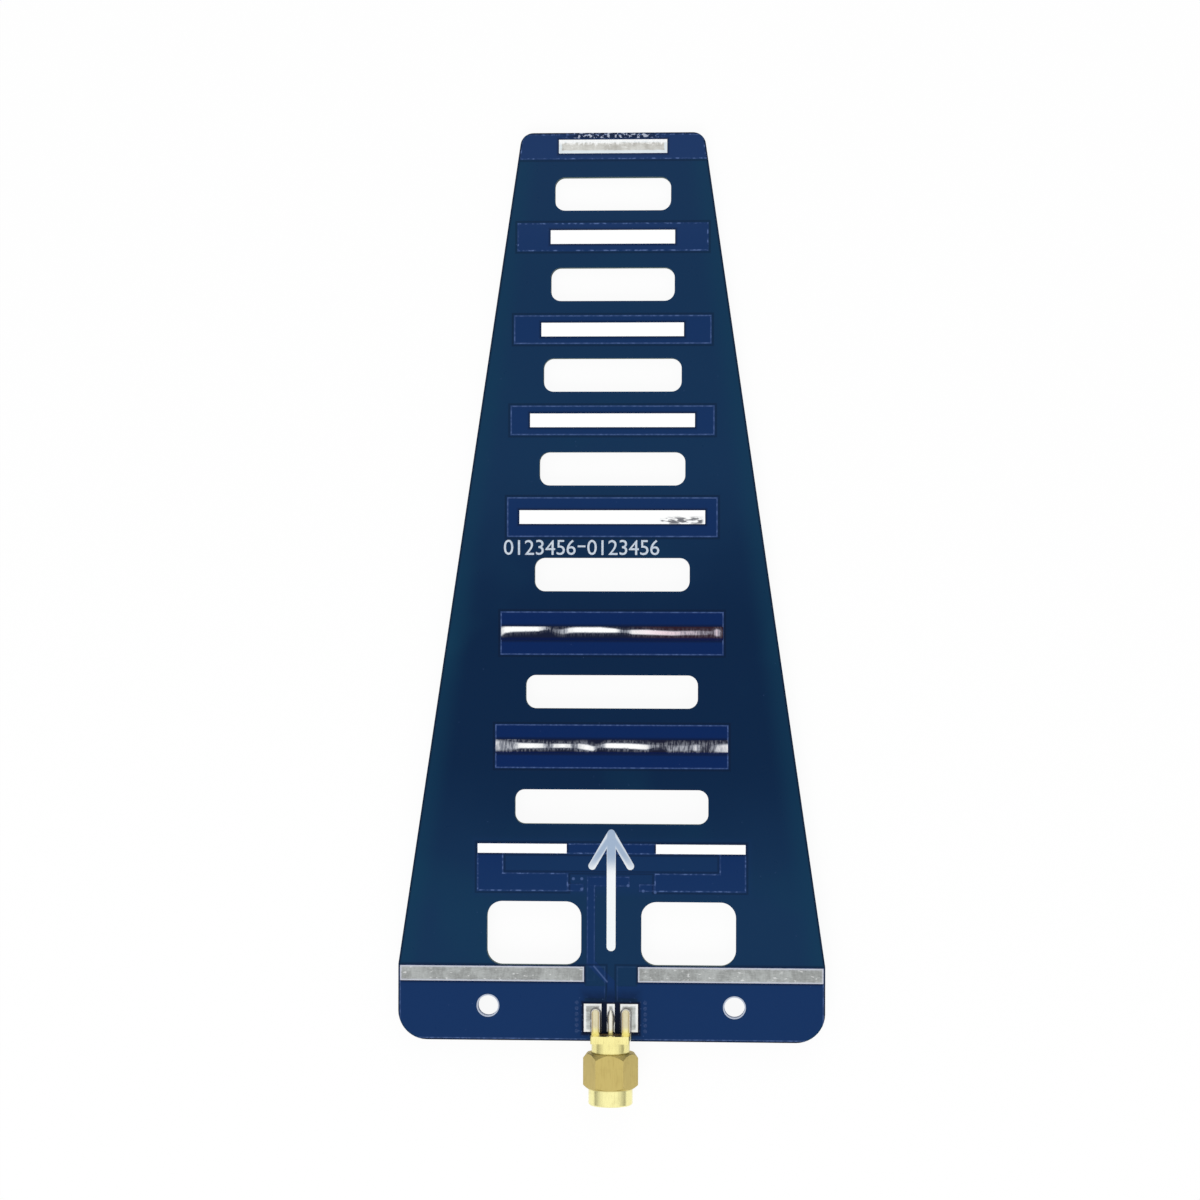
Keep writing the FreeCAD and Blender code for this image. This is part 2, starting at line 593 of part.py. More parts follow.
def back_ground():
    """Ground on the back: the reflector block, the column under the feed line and the slotted balun."""
    outer = "(Sizes.base_width / 2 - Sizes.edge_pullback)"
    beside_notch = f"({NOTCH_HALF_WIDTH} + Sizes.edge_pullback)"
    head_half = "(Sizes.driven_feed_gap / 2)"
    head_foot = f"({WINDOW_TOP} + 2 * Sizes.edge_pullback)"
    slot_half = "(Sizes.balun_slot_width / 2)"
    right_side = [
        (slot_half, "Sizes.balun_slot_foot", None),
        (slot_half, ARM_TOP, None),
        (head_half, ARM_TOP, None),
        (head_half, head_foot, None),
        (COLUMN_HALF_WIDTH, head_foot, None),
        (COLUMN_HALF_WIDTH, "Sizes.reflector_height", None),
        (outer, "Sizes.reflector_height", None),
        (outer, "Sizes.edge_pullback", "Sizes.base_corner_radius - Sizes.edge_pullback"),
        (beside_notch, "Sizes.edge_pullback", None),
        (beside_notch, PAD_FOOT, None),
    ]
    left_side = [(f"-{x}", y, radius) for x, y, radius in reversed(right_side)]
    body = foil("back_ground", right_side + left_side, level=BACK_COPPER_BOTTOM)
    clear_mounting_holes(body)
    return body


def via_places(group):
    """Centres of the filled through holes of a group, in expressions."""
    if group == "balun":
        along = f"({DRIVEN_FOOT} + Sizes.feed_tab_height / 2)"
        tab_via = f"({TAB_TIP} + Sizes.feed_tab_height / 2)"
        bar_via = "(Sizes.feed_bar_end - Sizes.feed_bar_height / 2)"
        bar_along = f"({ARM_TOP} - Sizes.feed_bar_drop - Sizes.feed_bar_height / 2)"
        return [(f"-{tab_via}", along), (tab_via, along), (bar_via, bar_along)]
    finger_along = "(Sizes.finger_bottom + Sizes.finger_height / 2)"
    places = []
    for number in range(VIAS_PER_FINGER):
        inward = f"({number} * Sizes.finger_via_pitch)"
        places.append((f"-(Sizes.finger_via_offset - {inward})", finger_along))
    return places


def drill_vias(body):
    """Drill the laminate for every through hole."""
    sketch = new_sketch(body, "via_drills")
    for group in ("ground", "balun"):
        for across, along in via_places(group):
            circle(sketch, across, along, "Sizes.via_diameter")
    cut_through(body, sketch)


def vias(group):
    """Copper posts between the foils of both faces."""
    body = new_body(f"{group}_vias", up=LAMINATE_BOTTOM)
    for index, (across, along) in enumerate(via_places(group)):
        sketch = new_sketch(body, f"post_{index}")
        circle(sketch, across, along, "Sizes.via_diameter")
        pad(body, sketch, "Sizes.laminate_thickness")
    return body


def connector_body(label, along="0"):
    """A body of the plug, with its own Y axis on the plug's axis and its origin in the base edge."""
    return new_body(label, along=along, up=AXIS_LEVEL)


# Stations of the plug along its axis, measured outwards from the base edge
JOURNAL_START = "Sizes.neck_length"
GROOVE_START = f"({JOURNAL_START} + Sizes.ring_groove_start)"
GROOVE_END = f"({GROOVE_START} + Sizes.ring_groove_width)"
JOURNAL_END = f"({JOURNAL_START} + Sizes.journal_length)"
TUBE_END = f"({JOURNAL_END} + Sizes.tube_length)"
NUT_START = f"({JOURNAL_START} + Sizes.running_clearance)"
HEX_END = f"({NUT_START} + Sizes.nut_hex_length)"
NUT_END = f"({HEX_END} + Sizes.nut_collar_length)"
THREAD_START = f"({JOURNAL_END} + Sizes.gasket_thickness)"


def legs(body, face, level, reverse):
    """The two legs of the plug body that grip one face of the board."""
    for side, sign in SIDES:
        sketch = new_sketch(body, f"leg_{face}_{side}", offset=level)
        leg_outline(sketch, sign, "0")
        pad(body, sketch, "Sizes.leg_thickness", reverse=reverse)


def leg_outline(sketch, sign, growth):
    """A leg from above, with a round tip, or the same grown all round."""
    middle = f"{sign} * Sizes.leg_pitch / 2"
    half = f"(Sizes.leg_width / 2 + {growth})"
    tip = f"(Sizes.flange_thickness + Sizes.leg_length + {growth})"
    radius = f"Sizes.leg_width * 0.49 + {growth}"
    outline(sketch, [
        (f"{middle} - {half}", "Sizes.flange_thickness", None),
        (f"{middle} + {half}", "Sizes.flange_thickness", None),
        (f"{middle} + {half}", tip, radius),
        (f"{middle} - {half}", tip, radius),
    ])


def plug_body():
    """Flange, legs, neck, journal with its ring groove and outer contact tube, in one turned piece."""
    body = connector_body("connector_body")
    sketch = new_sketch(body, "flange", plane="XZ_Plane")
    rectangle(sketch, "0", "0", "2 * Sizes.axis_to_flange_side", "2 * Sizes.axis_to_flange_side",
              "Sizes.flange_corner_radius")
    pad(body, sketch, "Sizes.flange_thickness", reverse=True)
    sketch = new_sketch(body, "turned")
    groove_radius = "(Sizes.journal_diameter / 2 - Sizes.ring_groove_depth)"
    stations = (
        ("Sizes.insulator_diameter / 2", "0"),
        ("Sizes.insulator_diameter / 2", TUBE_END),
        ("Sizes.tube_diameter / 2", TUBE_END),
        ("Sizes.tube_diameter / 2", JOURNAL_END),
        ("Sizes.journal_diameter / 2", JOURNAL_END),
        ("Sizes.journal_diameter / 2", GROOVE_END),
        (groove_radius, GROOVE_END),
        (groove_radius, GROOVE_START),
        ("Sizes.journal_diameter / 2", GROOVE_START),
        ("Sizes.journal_diameter / 2", JOURNAL_START),
        ("Sizes.neck_diameter / 2", JOURNAL_START),
        ("Sizes.neck_diameter / 2", "0"),
    )
    outline(sketch, [(radius, f"-{station}", None) for radius, station in stations])
    turn(body, sketch)
    sketch = new_sketch(body, "insulator_bore", plane="XZ_Plane")
    circle(sketch, "0", "0", "Sizes.insulator_diameter")
    cut_through(body, sketch)
    front_level = f"{FRONT_PAD_LEVEL} - {AXIS_LEVEL}"
    back_level = f"{BACK_PAD_LEVEL} - {AXIS_LEVEL}"
    legs(body, "front", front_level, reverse=False)
    legs(body, "back", back_level, reverse=True)
    return body


def insulator():
    """The plug's insulator, bored for the centre contact."""
    body = connector_body("insulator")
    sketch = new_sketch(body, "section")
    inner = "Sizes.contact_diameter / 2"
    outer = "Sizes.insulator_diameter / 2"
    outline(sketch, box_corners(inner, outer, f"-{TUBE_END}", "Sizes.flange_thickness"))
    turn(body, sketch)
    return body


def centre_contact():
    """One turned pin: mating end, shank in the insulator and the tail that lies on the centre pad."""
    body = connector_body("centre_contact")
    sketch = new_sketch(body, "section")
    pin_end = f"({TUBE_END} + Sizes.pin_length)"
    tail_end = "(Sizes.flange_thickness + Sizes.tail_length)"
    stations = (
        ("0", f"-{pin_end}"),
        ("Sizes.pin_diameter / 4", f"-{pin_end}"),
        ("Sizes.pin_diameter / 2", f"-({pin_end} - Sizes.pin_tip_length)"),
        ("Sizes.pin_diameter / 2", f"-{TUBE_END}"),
        ("Sizes.contact_diameter / 2", f"-{TUBE_END}"),
        ("Sizes.contact_diameter / 2", "Sizes.flange_thickness"),
        ("Sizes.tail_diameter / 2", "Sizes.flange_thickness"),
        ("Sizes.tail_diameter / 2", f"{tail_end} - Sizes.tail_tip_length"),
        ("Sizes.tail_diameter / 5", tail_end),
        ("0", tail_end),
    )
    outline(sketch, [(radius, station, None) for radius, station in stations])
    turn(body, sketch)
    return body


def retaining_ring():
    """A split ring, half in the plug body's groove and half in the nut's."""
    body = connector_body("retaining_ring")
    sketch = new_sketch(body, "section")
    inner = "(Sizes.journal_diameter / 2 - Sizes.ring_groove_depth + Sizes.running_clearance)"
    slack = "((Sizes.ring_groove_width - Sizes.ring_thickness) / 2)"
    corners = box_corners(inner, f"{inner} + Sizes.ring_depth",
                          f"-({GROOVE_END} - {slack})", f"-({GROOVE_START} + {slack})")
    outline(sketch, corners)
    turn(body, sketch, angle="360 - Sizes.ring_opening_angle")
    return body


def gasket():
    """A face seal around the contact tube, against the end of the journal."""
    body = connector_body("gasket")
    sketch = new_sketch(body, "section")
    outline(sketch, box_corners("Sizes.tube_diameter / 2", "Sizes.gasket_diameter / 2",
                                f"-{THREAD_START}", f"-{JOURNAL_END}"))
    turn(body, sketch)
    return body


def coupling_nut():
    """Turned blank with bevels, collar, stepped bore and ring groove, then milled to a hexagon."""
    body = connector_body("coupling_nut")
    sketch = new_sketch(body, "turned")
    corner = "Sizes.nut_across_flats / sqrt(3)"
    bore = "(Sizes.journal_diameter / 2 + Sizes.running_clearance)"
    groove = ("(Sizes.journal_diameter / 2 - Sizes.ring_groove_depth + Sizes.ring_depth"
              " + 2 * Sizes.running_clearance)")
    thread = "Sizes.nut_thread_diameter / 2"
    mouth = "Sizes.nut_mouth_diameter / 2"
    stations = (
        (bore, NUT_START),
        (bore, GROOVE_START),
        (groove, GROOVE_START),
        (groove, GROOVE_END),
        (bore, GROOVE_END),
        (bore, f"{JOURNAL_END} - Sizes.running_clearance"),
        (thread, f"{JOURNAL_END} - Sizes.running_clearance"),
        (thread, f"{NUT_END} - Sizes.nut_mouth_length"),
        (mouth, NUT_END),
        ("Sizes.nut_collar_diameter / 2 - Sizes.nut_collar_bevel", NUT_END),
        ("Sizes.nut_collar_diameter / 2", f"{NUT_END} - Sizes.nut_collar_bevel"),
        ("Sizes.nut_collar_diameter / 2", HEX_END),
        ("Sizes.nut_bevel_diameter / 2", HEX_END),
        (corner, f"{HEX_END} - Sizes.nut_front_bevel"),
        (corner, f"{NUT_START} + Sizes.nut_rear_bevel"),
        ("Sizes.nut_bevel_diameter / 2", NUT_START),
    )
    outline(sketch, [(radius, f"-({station})", None) for radius, station in stations])
    turn(body, sketch)
    sketch = new_sketch(body, "flats", plane="XZ_Plane")
    circle(sketch, "0", "0", "2 * Sizes.nut_across_flats")
    half_corner = "Sizes.nut_across_flats / sqrt(12)"
    outline(sketch, [
        (corner, "0", None),
        (half_corner, "Sizes.nut_across_flats / 2", None),
        (f"-{half_corner}", "Sizes.nut_across_flats / 2", None),
        (f"-{corner}", "0", None),
        (f"-{half_corner}", "-Sizes.nut_across_flats / 2", None),
        (half_corner, "-Sizes.nut_across_flats / 2", None),
    ])
    cut_through(body, sketch)
    return body


def cut_from(label, base, tools):
    """A piece that is trimmed by the pieces it is moulded round."""
    tool = tools[0]
    if len(tools) > 1:
        tool = doc.addObject("Part::MultiFuse", f"{label}_tools")
        tool.Shapes = tools
    result = doc.addObject("Part::Cut", label)
    result.Base = base
    result.Tool = tool
    result.Label = label
    doc.recompute()
    return result


def leg_solder(face, side, sign, plug):
    """A sloping fillet of solder around a leg on its pad."""
    label = f"solder_{face}_{side}"
    front = face == "front"
    body = new_body(f"{label}_blank", up=FRONT_PAD_LEVEL if front else BACK_PAD_LEVEL)
    sketch = new_sketch(body, "foot")
    leg_outline(sketch, sign, "Sizes.solder_reach")
    feature = pad(body, sketch, "Sizes.solder_height", reverse=not front)
    feature.setExpression("TaperAngle", "-atan(0.8 * Sizes.solder_reach / Sizes.solder_height)")
    doc.recompute()
    return cut_from(label, body, [plug])


def pin_solder(contact):
    """A long drop of solder round the tail of the centre contact, flat on its pad."""
    drop = doc.addObject("Part::Ellipsoid", "solder_pin_blank")
    drop.Angle1 = 0
    drop.setExpression("Radius1", "Sizes.pin_solder_height")
    drop.setExpression("Radius2", "Sizes.pin_solder_width / 2")
    drop.setExpression("Radius3", "Sizes.pin_solder_length / 2")
    place(drop, along=f"{PAD_FOOT} + Sizes.tin_inset + 0.55 * Sizes.tail_length", up=FRONT_PAD_LEVEL)
    return cut_from("solder_pin", drop, [contact])


def laminate_block():
    """A plain block as thick as the laminate, to keep the films out of it."""
    block = doc.addObject("Part::Box", "laminate_block")
    block.setExpression("Length", "Sizes.base_width")
    block.setExpression("Width", BOARD_LENGTH)
    block.setExpression("Height", "Sizes.laminate_thickness")
    place(block, across="-Sizes.base_width / 2", up=LAMINATE_BOTTOM)
    return block


def solder_mask(label, sheet_level, foils, others):
    """A film over the bare laminate and over each foil, open where tin lies."""
    film = routed_sheet(f"{label}_sheet", sheet_level, "Sizes.mask_thickness")
    layers = [film]
    for copper in foils:
        layer = doc.addObject("Part::Offset", f"{label}_over_{copper.Label}")
        layer.Source = copper
        layer.Join = "Intersection"
        layer.setExpression("Value", "Sizes.mask_thickness")
        layers.append(layer)
    joined = doc.addObject("Part::MultiFuse", f"{label}_film")
    joined.Shapes = layers
    return cut_from(label, joined, foils + others)


def arrow_prism():
    """The arrow that shows which way the antenna points, from the laminate up to the top of its ink."""
    body = new_body("direction_arrow_blank", up=LAMINATE_TOP)
    apex = ("0", "Sizes.arrow_foot + Sizes.arrow_length - Sizes.arrow_head_stroke / 2")
    foot = ("0", "Sizes.arrow_foot + Sizes.arrow_shaft_width / 2")
    shaft_top = ("0", f"{apex[1]} - Sizes.arrow_shaft_width / 2")
    thickness = f"{PRINT_TOP} - {LAMINATE_TOP}"
    sketch = new_sketch(body, "shaft")
    capsule(sketch, foot, shaft_top, "Sizes.arrow_shaft_width")
    pad(body, sketch, thickness)
    for side, sign in SIDES:
        sketch = new_sketch(body, f"head_{side}")
        barb = (f"{sign} * Sizes.arrow_head_half_span", f"{apex[1]} - Sizes.arrow_head_drop")
        capsule(sketch, apex, barb, "Sizes.arrow_head_stroke")
        pad(body, sketch, thickness)
    return body


# The board
laminate = routed_sheet("laminate", LAMINATE_BOTTOM, "Sizes.laminate_thickness")
drill_vias(laminate)

# Copper
directors = [director(number) for number in range(1, SLOT_COUNT)]
directors.append(tip_director())
driven = driven_element()
feed = feed_line()
front_grounds = [front_ground(side, sign) for side, sign in SIDES]
ground_plane = back_ground()
via_groups = [vias("ground"), vias("balun")]
front_foils = directors + [driven, feed] + front_grounds

# Tin
tins = []
for number in range(1, SLOT_COUNT + 1):
    if number <= 2:
        strip_width = f"Sizes.director_width_{number} - 2 * Sizes.tin_inset"
        strip_crown = "Sizes.tin_bead_crown"
    else:
        strip_width = f"Sizes.tin_width_{number}"
        strip_crown = None
    tins.append(tin_strip(f"tin_strip_{number}", "0", DIRECTOR_CENTRES[number], strip_width,
                          "Sizes.tin_strip_height", strip_crown))
for side, sign in SIDES:
    arm_middle = f"{sign} * (Sizes.driven_width / 2 - Sizes.tin_inset - Sizes.driven_tin_length / 2)"
    arm_along = f"{DRIVEN_TOP} - Sizes.driven_upper_bar / 2"
    tins.append(tin_strip(f"driven_tin_{side}", arm_middle, arm_along, "Sizes.driven_tin_length",
                          "Sizes.driven_upper_bar - 2 * Sizes.tin_inset"))
    inner_end = "(Sizes.reflector_gap / 2 + Sizes.tin_inset)"
    outer_end = "(Sizes.base_width / 2 - Sizes.edge_pullback - Sizes.tin_inset)"
    ground_middle = f"{sign} * ({inner_end} + {outer_end}) / 2"
    ground_along = "Sizes.reflector_height - Sizes.tin_inset - Sizes.reflector_tin_height / 2"
    tins.append(tin_strip(f"ground_tin_{side}", ground_middle, ground_along, f"{outer_end} - {inner_end}",
                          "Sizes.reflector_tin_height"))


def pad_tin(label, across, width, level):
    """Tin on one of the connector's pads."""
    body = new_body(label, up=level)
    sketch = new_sketch(body, "outline")
    foot = f"({PAD_FOOT} + Sizes.tin_inset)"
    rectangle(sketch, across, f"({foot} + Sizes.pad_top) / 2", width, f"Sizes.pad_top - {foot}")
    pad(body, sketch, "Sizes.tin_thickness")
    return body


centre_tin_width = "Sizes.centre_pad_width - 2 * Sizes.tin_inset"
front_pad_tins = [pad_tin("centre_pad_tin", "0", centre_tin_width, COPPER_TOP)]
back_pad_tins = []
for side, sign in SIDES:
    pad_width = "Sizes.ground_pad_width - 2 * Sizes.tin_inset"
    across = f"{sign} * {PAD_MIDDLE}"
    front_pad_tins.append(pad_tin(f"front_pad_tin_{side}", across, pad_width, COPPER_TOP))
    back_pad_tins.append(pad_tin(f"back_pad_tin_{side}", across, pad_width, BACK_PAD_LEVEL))

# Solder mask and print
core_block = laminate_block()
front_mask = solder_mask("solder_mask_front", LAMINATE_TOP, front_foils, [core_block] + tins + front_pad_tins)
back_mask = solder_mask("solder_mask_back", f"{LAMINATE_BOTTOM} - Sizes.mask_thickness", [ground_plane],
                        [core_block] + back_pad_tins)
arrow = cut_from("direction_arrow", arrow_prism(), [front_mask, driven, feed])

# The plug and its solder
plug = plug_body()
contact = centre_contact()
plug_pieces = [plug, contact, insulator(), retaining_ring(), gasket(), coupling_nut()]
solders = [pin_solder(contact)]
for face in ("front", "back"):
    for side, sign in SIDES:
        solders.append(leg_solder(face, side, sign, plug))

doc.recompute()

pieces = [laminate] + front_foils + [ground_plane] + via_groups + tins + front_pad_tins + back_pad_tins
pieces += [front_mask, back_mask, arrow] + plug_pieces + solders

# Check everything before anything is written
for item in doc.Objects:
    if "Invalid" in item.State or "Error" in item.State:
        raise ValueError(f"{item.Label} failed")
for piece in pieces:
    if piece.Shape.isNull() or not piece.Shape.isValid():
        raise ValueError(f"{piece.Label} is not a valid shape")

os.makedirs("parts", exist_ok=True)
for piece in pieces:
    piece.Shape.exportStep(f"parts/{piece.Label}.step")
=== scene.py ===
import functools
import math

import bmesh
import bpy
from mathutils import Matrix, Vector


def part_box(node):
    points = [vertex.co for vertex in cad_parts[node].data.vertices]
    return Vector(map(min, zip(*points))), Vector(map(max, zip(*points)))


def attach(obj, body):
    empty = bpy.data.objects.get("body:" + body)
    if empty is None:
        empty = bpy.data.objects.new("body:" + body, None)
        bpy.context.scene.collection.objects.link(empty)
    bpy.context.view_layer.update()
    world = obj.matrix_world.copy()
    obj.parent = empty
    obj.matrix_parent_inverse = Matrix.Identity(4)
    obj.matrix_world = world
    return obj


# The looks of a printed directional antenna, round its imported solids. X across the board, Y the way
# it points, Z out of its printed front. Lengths are metres, and millimetres inside the materials.

bl_info = {
    "name": "Printed Directional Antenna",
    "version": (1, 0, 0),
    "blender": (4, 5, 0),
    "location": "View3D > Sidebar > Antenna",
    "description": "Finishes, printed numerals, tented holes and nut thread of a printed antenna",
    "category": "Object",
}

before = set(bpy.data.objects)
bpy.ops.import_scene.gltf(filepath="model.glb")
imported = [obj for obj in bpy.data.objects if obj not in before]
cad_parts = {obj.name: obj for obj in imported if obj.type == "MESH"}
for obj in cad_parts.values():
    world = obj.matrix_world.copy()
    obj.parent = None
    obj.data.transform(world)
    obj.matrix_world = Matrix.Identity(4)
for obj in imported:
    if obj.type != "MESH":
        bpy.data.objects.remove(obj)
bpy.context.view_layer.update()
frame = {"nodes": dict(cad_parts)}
NODES = frame["nodes"]

MM = 0.001
DIRECTORS = range(1, 8)
# All lengths down to the humps' painted highlights are millimetres. The board's outline: half width at the
# base, start and slope of its taper, both ends, and the bare margin between copper and edge
BASE_HALF, TAPER_START, TAPER = 35.85, 6.9, 0.14705
BASE_EDGE, TIP_EDGE, MARGIN = -5.8, 146.65, 0.2
SIDES = ("left", "right")
# From the centre line to the axis of a mounting hole, and to the middle of a leg of the plug
HOLE_ASIDE, LEG_ASIDE = 20.7, 2.54
# The mask lies on copper above the first height on the front, and below the second on the back
ON_COPPER_FRONT, ON_COPPER_BACK = 1.5925, 0.0175
# Rectangles on the front as left, right, foot and top: the feed's two straight runs, the pads under the
# plug, the plug's painted shadow beyond them and the whole gap between the two halves of the ground
FEED_RUNS = ((-4.1, -2.7, 4.3, 20.5), (-4.1, 3.1, 20.12, 21.82))
PADS = (-4.54, 4.54, -4.4, 0.45)
PLUG_SHADOW = (-3.4, 3.4, 0, 1.2)
GROUND_GAP = (-5.6, 5.6, -4.4, 7.4)
# The feed's slanting run: one end of its edge, its way right and down, and half its length
SLANT_START, SLANT_WAY, SLANT_HALF = (-2.94, 6.83), (0.65, 0.76), 1.82
# The driven element: width of its arms at the ends, below and above, half width and height of its gap
ARM_END, ARM_BELOW, ARM_ABOVE, GAP_HALF, GAP_HEIGHT = 4.44, 3.1, 1.78, 7.25, 3.2
# Its feed tabs: their start beside the centre line, length and height
TAB_START, TAB_LENGTH, TAB_HEIGHT = 4.65, 2.65, 1.3
# The ground on the back: top of its block, half width and foot of its column and of the slot in that
BLOCK_TOP, COLUMN_HALF, COLUMN_FOOT, SLOT_HALF, SLOT_FOOT = 6.75, 4.82, 6.0, 0.5, 8.2
# Painted dark reflection in marks on director 3's strip
STRIP_REFLECTION = (8.2, 15.2, 80.95, 82.1)
# Painted highlights on humps in the front mask over filled holes
HUMP_HIGHLIGHTS = ((-4.95, 21.4), (-4.95, 19.66), (-6.36, 21.4), (2.85, 20.3), (5.37, 19.4), (7.38, 19.2))
# The painted highlight streak along each hand-tinned bead, on directors 1 and 2: place along the bead in
# millimetres, then middle and half width across it in half widths of the bead, and brightness
HIGHLIGHT_STREAKS = {
    1: (
        (-19.7, 0.1, 1.1, 0.88),
        (-18.6, 0.1, 1.0, 0.78),
        (-17.2, 0.05, 0.9, 0.7),
        (-16.3, 0.05, 0.75, 0.78),
        (-15.4, 0.1, 0.5, 0.98),
        (-13.5, 0.08, 0.47, 1.0),
        (-11.6, 0.08, 0.44, 0.96),
        (-10.6, 0.05, 0.4, 0.62),
        (-9.7, 0.08, 0.4, 0.92),
        (-8.2, 0.1, 0.38, 1.0),
        (-7.0, 0.08, 0.38, 0.92),
        (-6.2, 0.05, 0.4, 0.62),
        (-5.5, 0.05, 0.5, 0.92),
        (-4.2, -0.1, 0.56, 1.0),
        (-3.1, -0.3, 0.46, 0.96),
        (-2.4, -0.1, 0.26, 0.62),
        (-1.7, 0.1, 0.28, 0.75),
        (-0.8, 0.15, 0.46, 1.0),
        (2.5, 0.12, 0.48, 1.0),
        (4.5, 0.02, 0.5, 1.0),
        (5.8, -0.05, 0.5, 0.96),
        (7.0, 0.08, 0.3, 0.7),
        (8.8, 0.1, 0.26, 0.56),
        (9.6, -0.2, 0.6, 0.66),
        (12.3, -0.2, 0.65, 0.7),
        (13.2, -0.1, 0.5, 0.6),
        (14.0, -0.1, 0.65, 0.88),
        (14.8, -0.1, 0.6, 0.72),
        (15.8, -0.1, 0.5, 0.45),
        (16.8, -0.15, 0.6, 0.6),
        (17.8, -0.2, 0.75, 0.84),
        (19.4, -0.15, 0.8, 0.94),
    ),
    2: (
        (-18.7, 0.2, 0.9, 0.86),
        (-17.9, 0.5, 0.62, 1.0),
        (-16.5, 0.58, 0.52, 1.0),
        (-12.5, 0.62, 0.44, 1.0),
        (-11.2, 0.72, 0.32, 0.8),
        (-10.2, 0.6, 0.28, 0.42),
        (-9.4, 0.3, 0.4, 0.5),
        (-8.2, 0.22, 0.5, 0.74),
        (-7.2, 0.42, 0.5, 0.93),
        (-6.0, 0.5, 0.5, 1.0),
        (-2.0, 0.5, 0.52, 1.0),
        (0.6, 0.4, 0.38, 1.0),
        (1.6, 0.32, 0.28, 0.75),
        (2.4, 0.27, 0.26, 0.6),
        (3.4, 0.2, 0.42, 0.96),
        (6.0, 0.18, 0.46, 1.0),
        (8.0, 0.1, 0.42, 0.98),
        (10.5, 0.02, 0.4, 0.93),
        (12.0, 0.08, 0.4, 0.84),
        (14.5, 0.1, 0.42, 0.78),
        (16.0, 0.1, 0.38, 0.62),
        (16.9, 0.12, 0.36, 0.5),
        (17.6, 0.15, 0.7, 0.97),
        (18.2, 0.1, 0.6, 0.6),
        (18.6, 0.0, 0.3, 0.2),
    ),
}


def srgb(red, green, blue):
    """A colour picked on a screen, as the linear numbers that Blender stores."""
    return tuple(
        c / 12.92 if c <= 0.04045 else ((c + 0.055) / 1.055) ** 2.4
        for c in (red / 255, green / 255, blue / 255)
    )


def colour_property(name, description, shade):
    return bpy.props.FloatVectorProperty(
        name=name, description=description, subtype="COLOR", size=3, min=0, max=1, default=srgb(*shade)
    )


def length_property(name, description, metres):
    return bpy.props.FloatProperty(
        name=name, description=description, default=metres, unit="LENGTH", precision=5
    )


def number_property(name, description, default):
    return bpy.props.FloatProperty(name=name, description=description, default=default, min=0)


# ---------------------------------------------------------------- shader maths


class Value:
    """One number in a shader. Python's operators on it add Math nodes."""

    def __init__(self, graph, socket):
        self.graph, self.socket = graph, socket

    def __add__(self, other):
        return self.graph.maths("ADD", self, other)

    __radd__ = __add__

    def __sub__(self, other):
        return self.graph.maths("SUBTRACT", self, other)

    def __rsub__(self, other):
        return self.graph.maths("SUBTRACT", other, self)

    def __mul__(self, other):
        return self.graph.maths("MULTIPLY", self, other)

    __rmul__ = __mul__

    def __truediv__(self, other):
        return self.graph.maths("DIVIDE", self, other)

    def __neg__(self):
        return self.graph.maths("MULTIPLY", self, -1)

    def __abs__(self):
        return self.graph.maths("ABSOLUTE", self)

    def __gt__(self, other):
        return self.graph.maths("GREATER_THAN", self, other)

    def __lt__(self, other):
        return self.graph.maths("LESS_THAN", self, other)


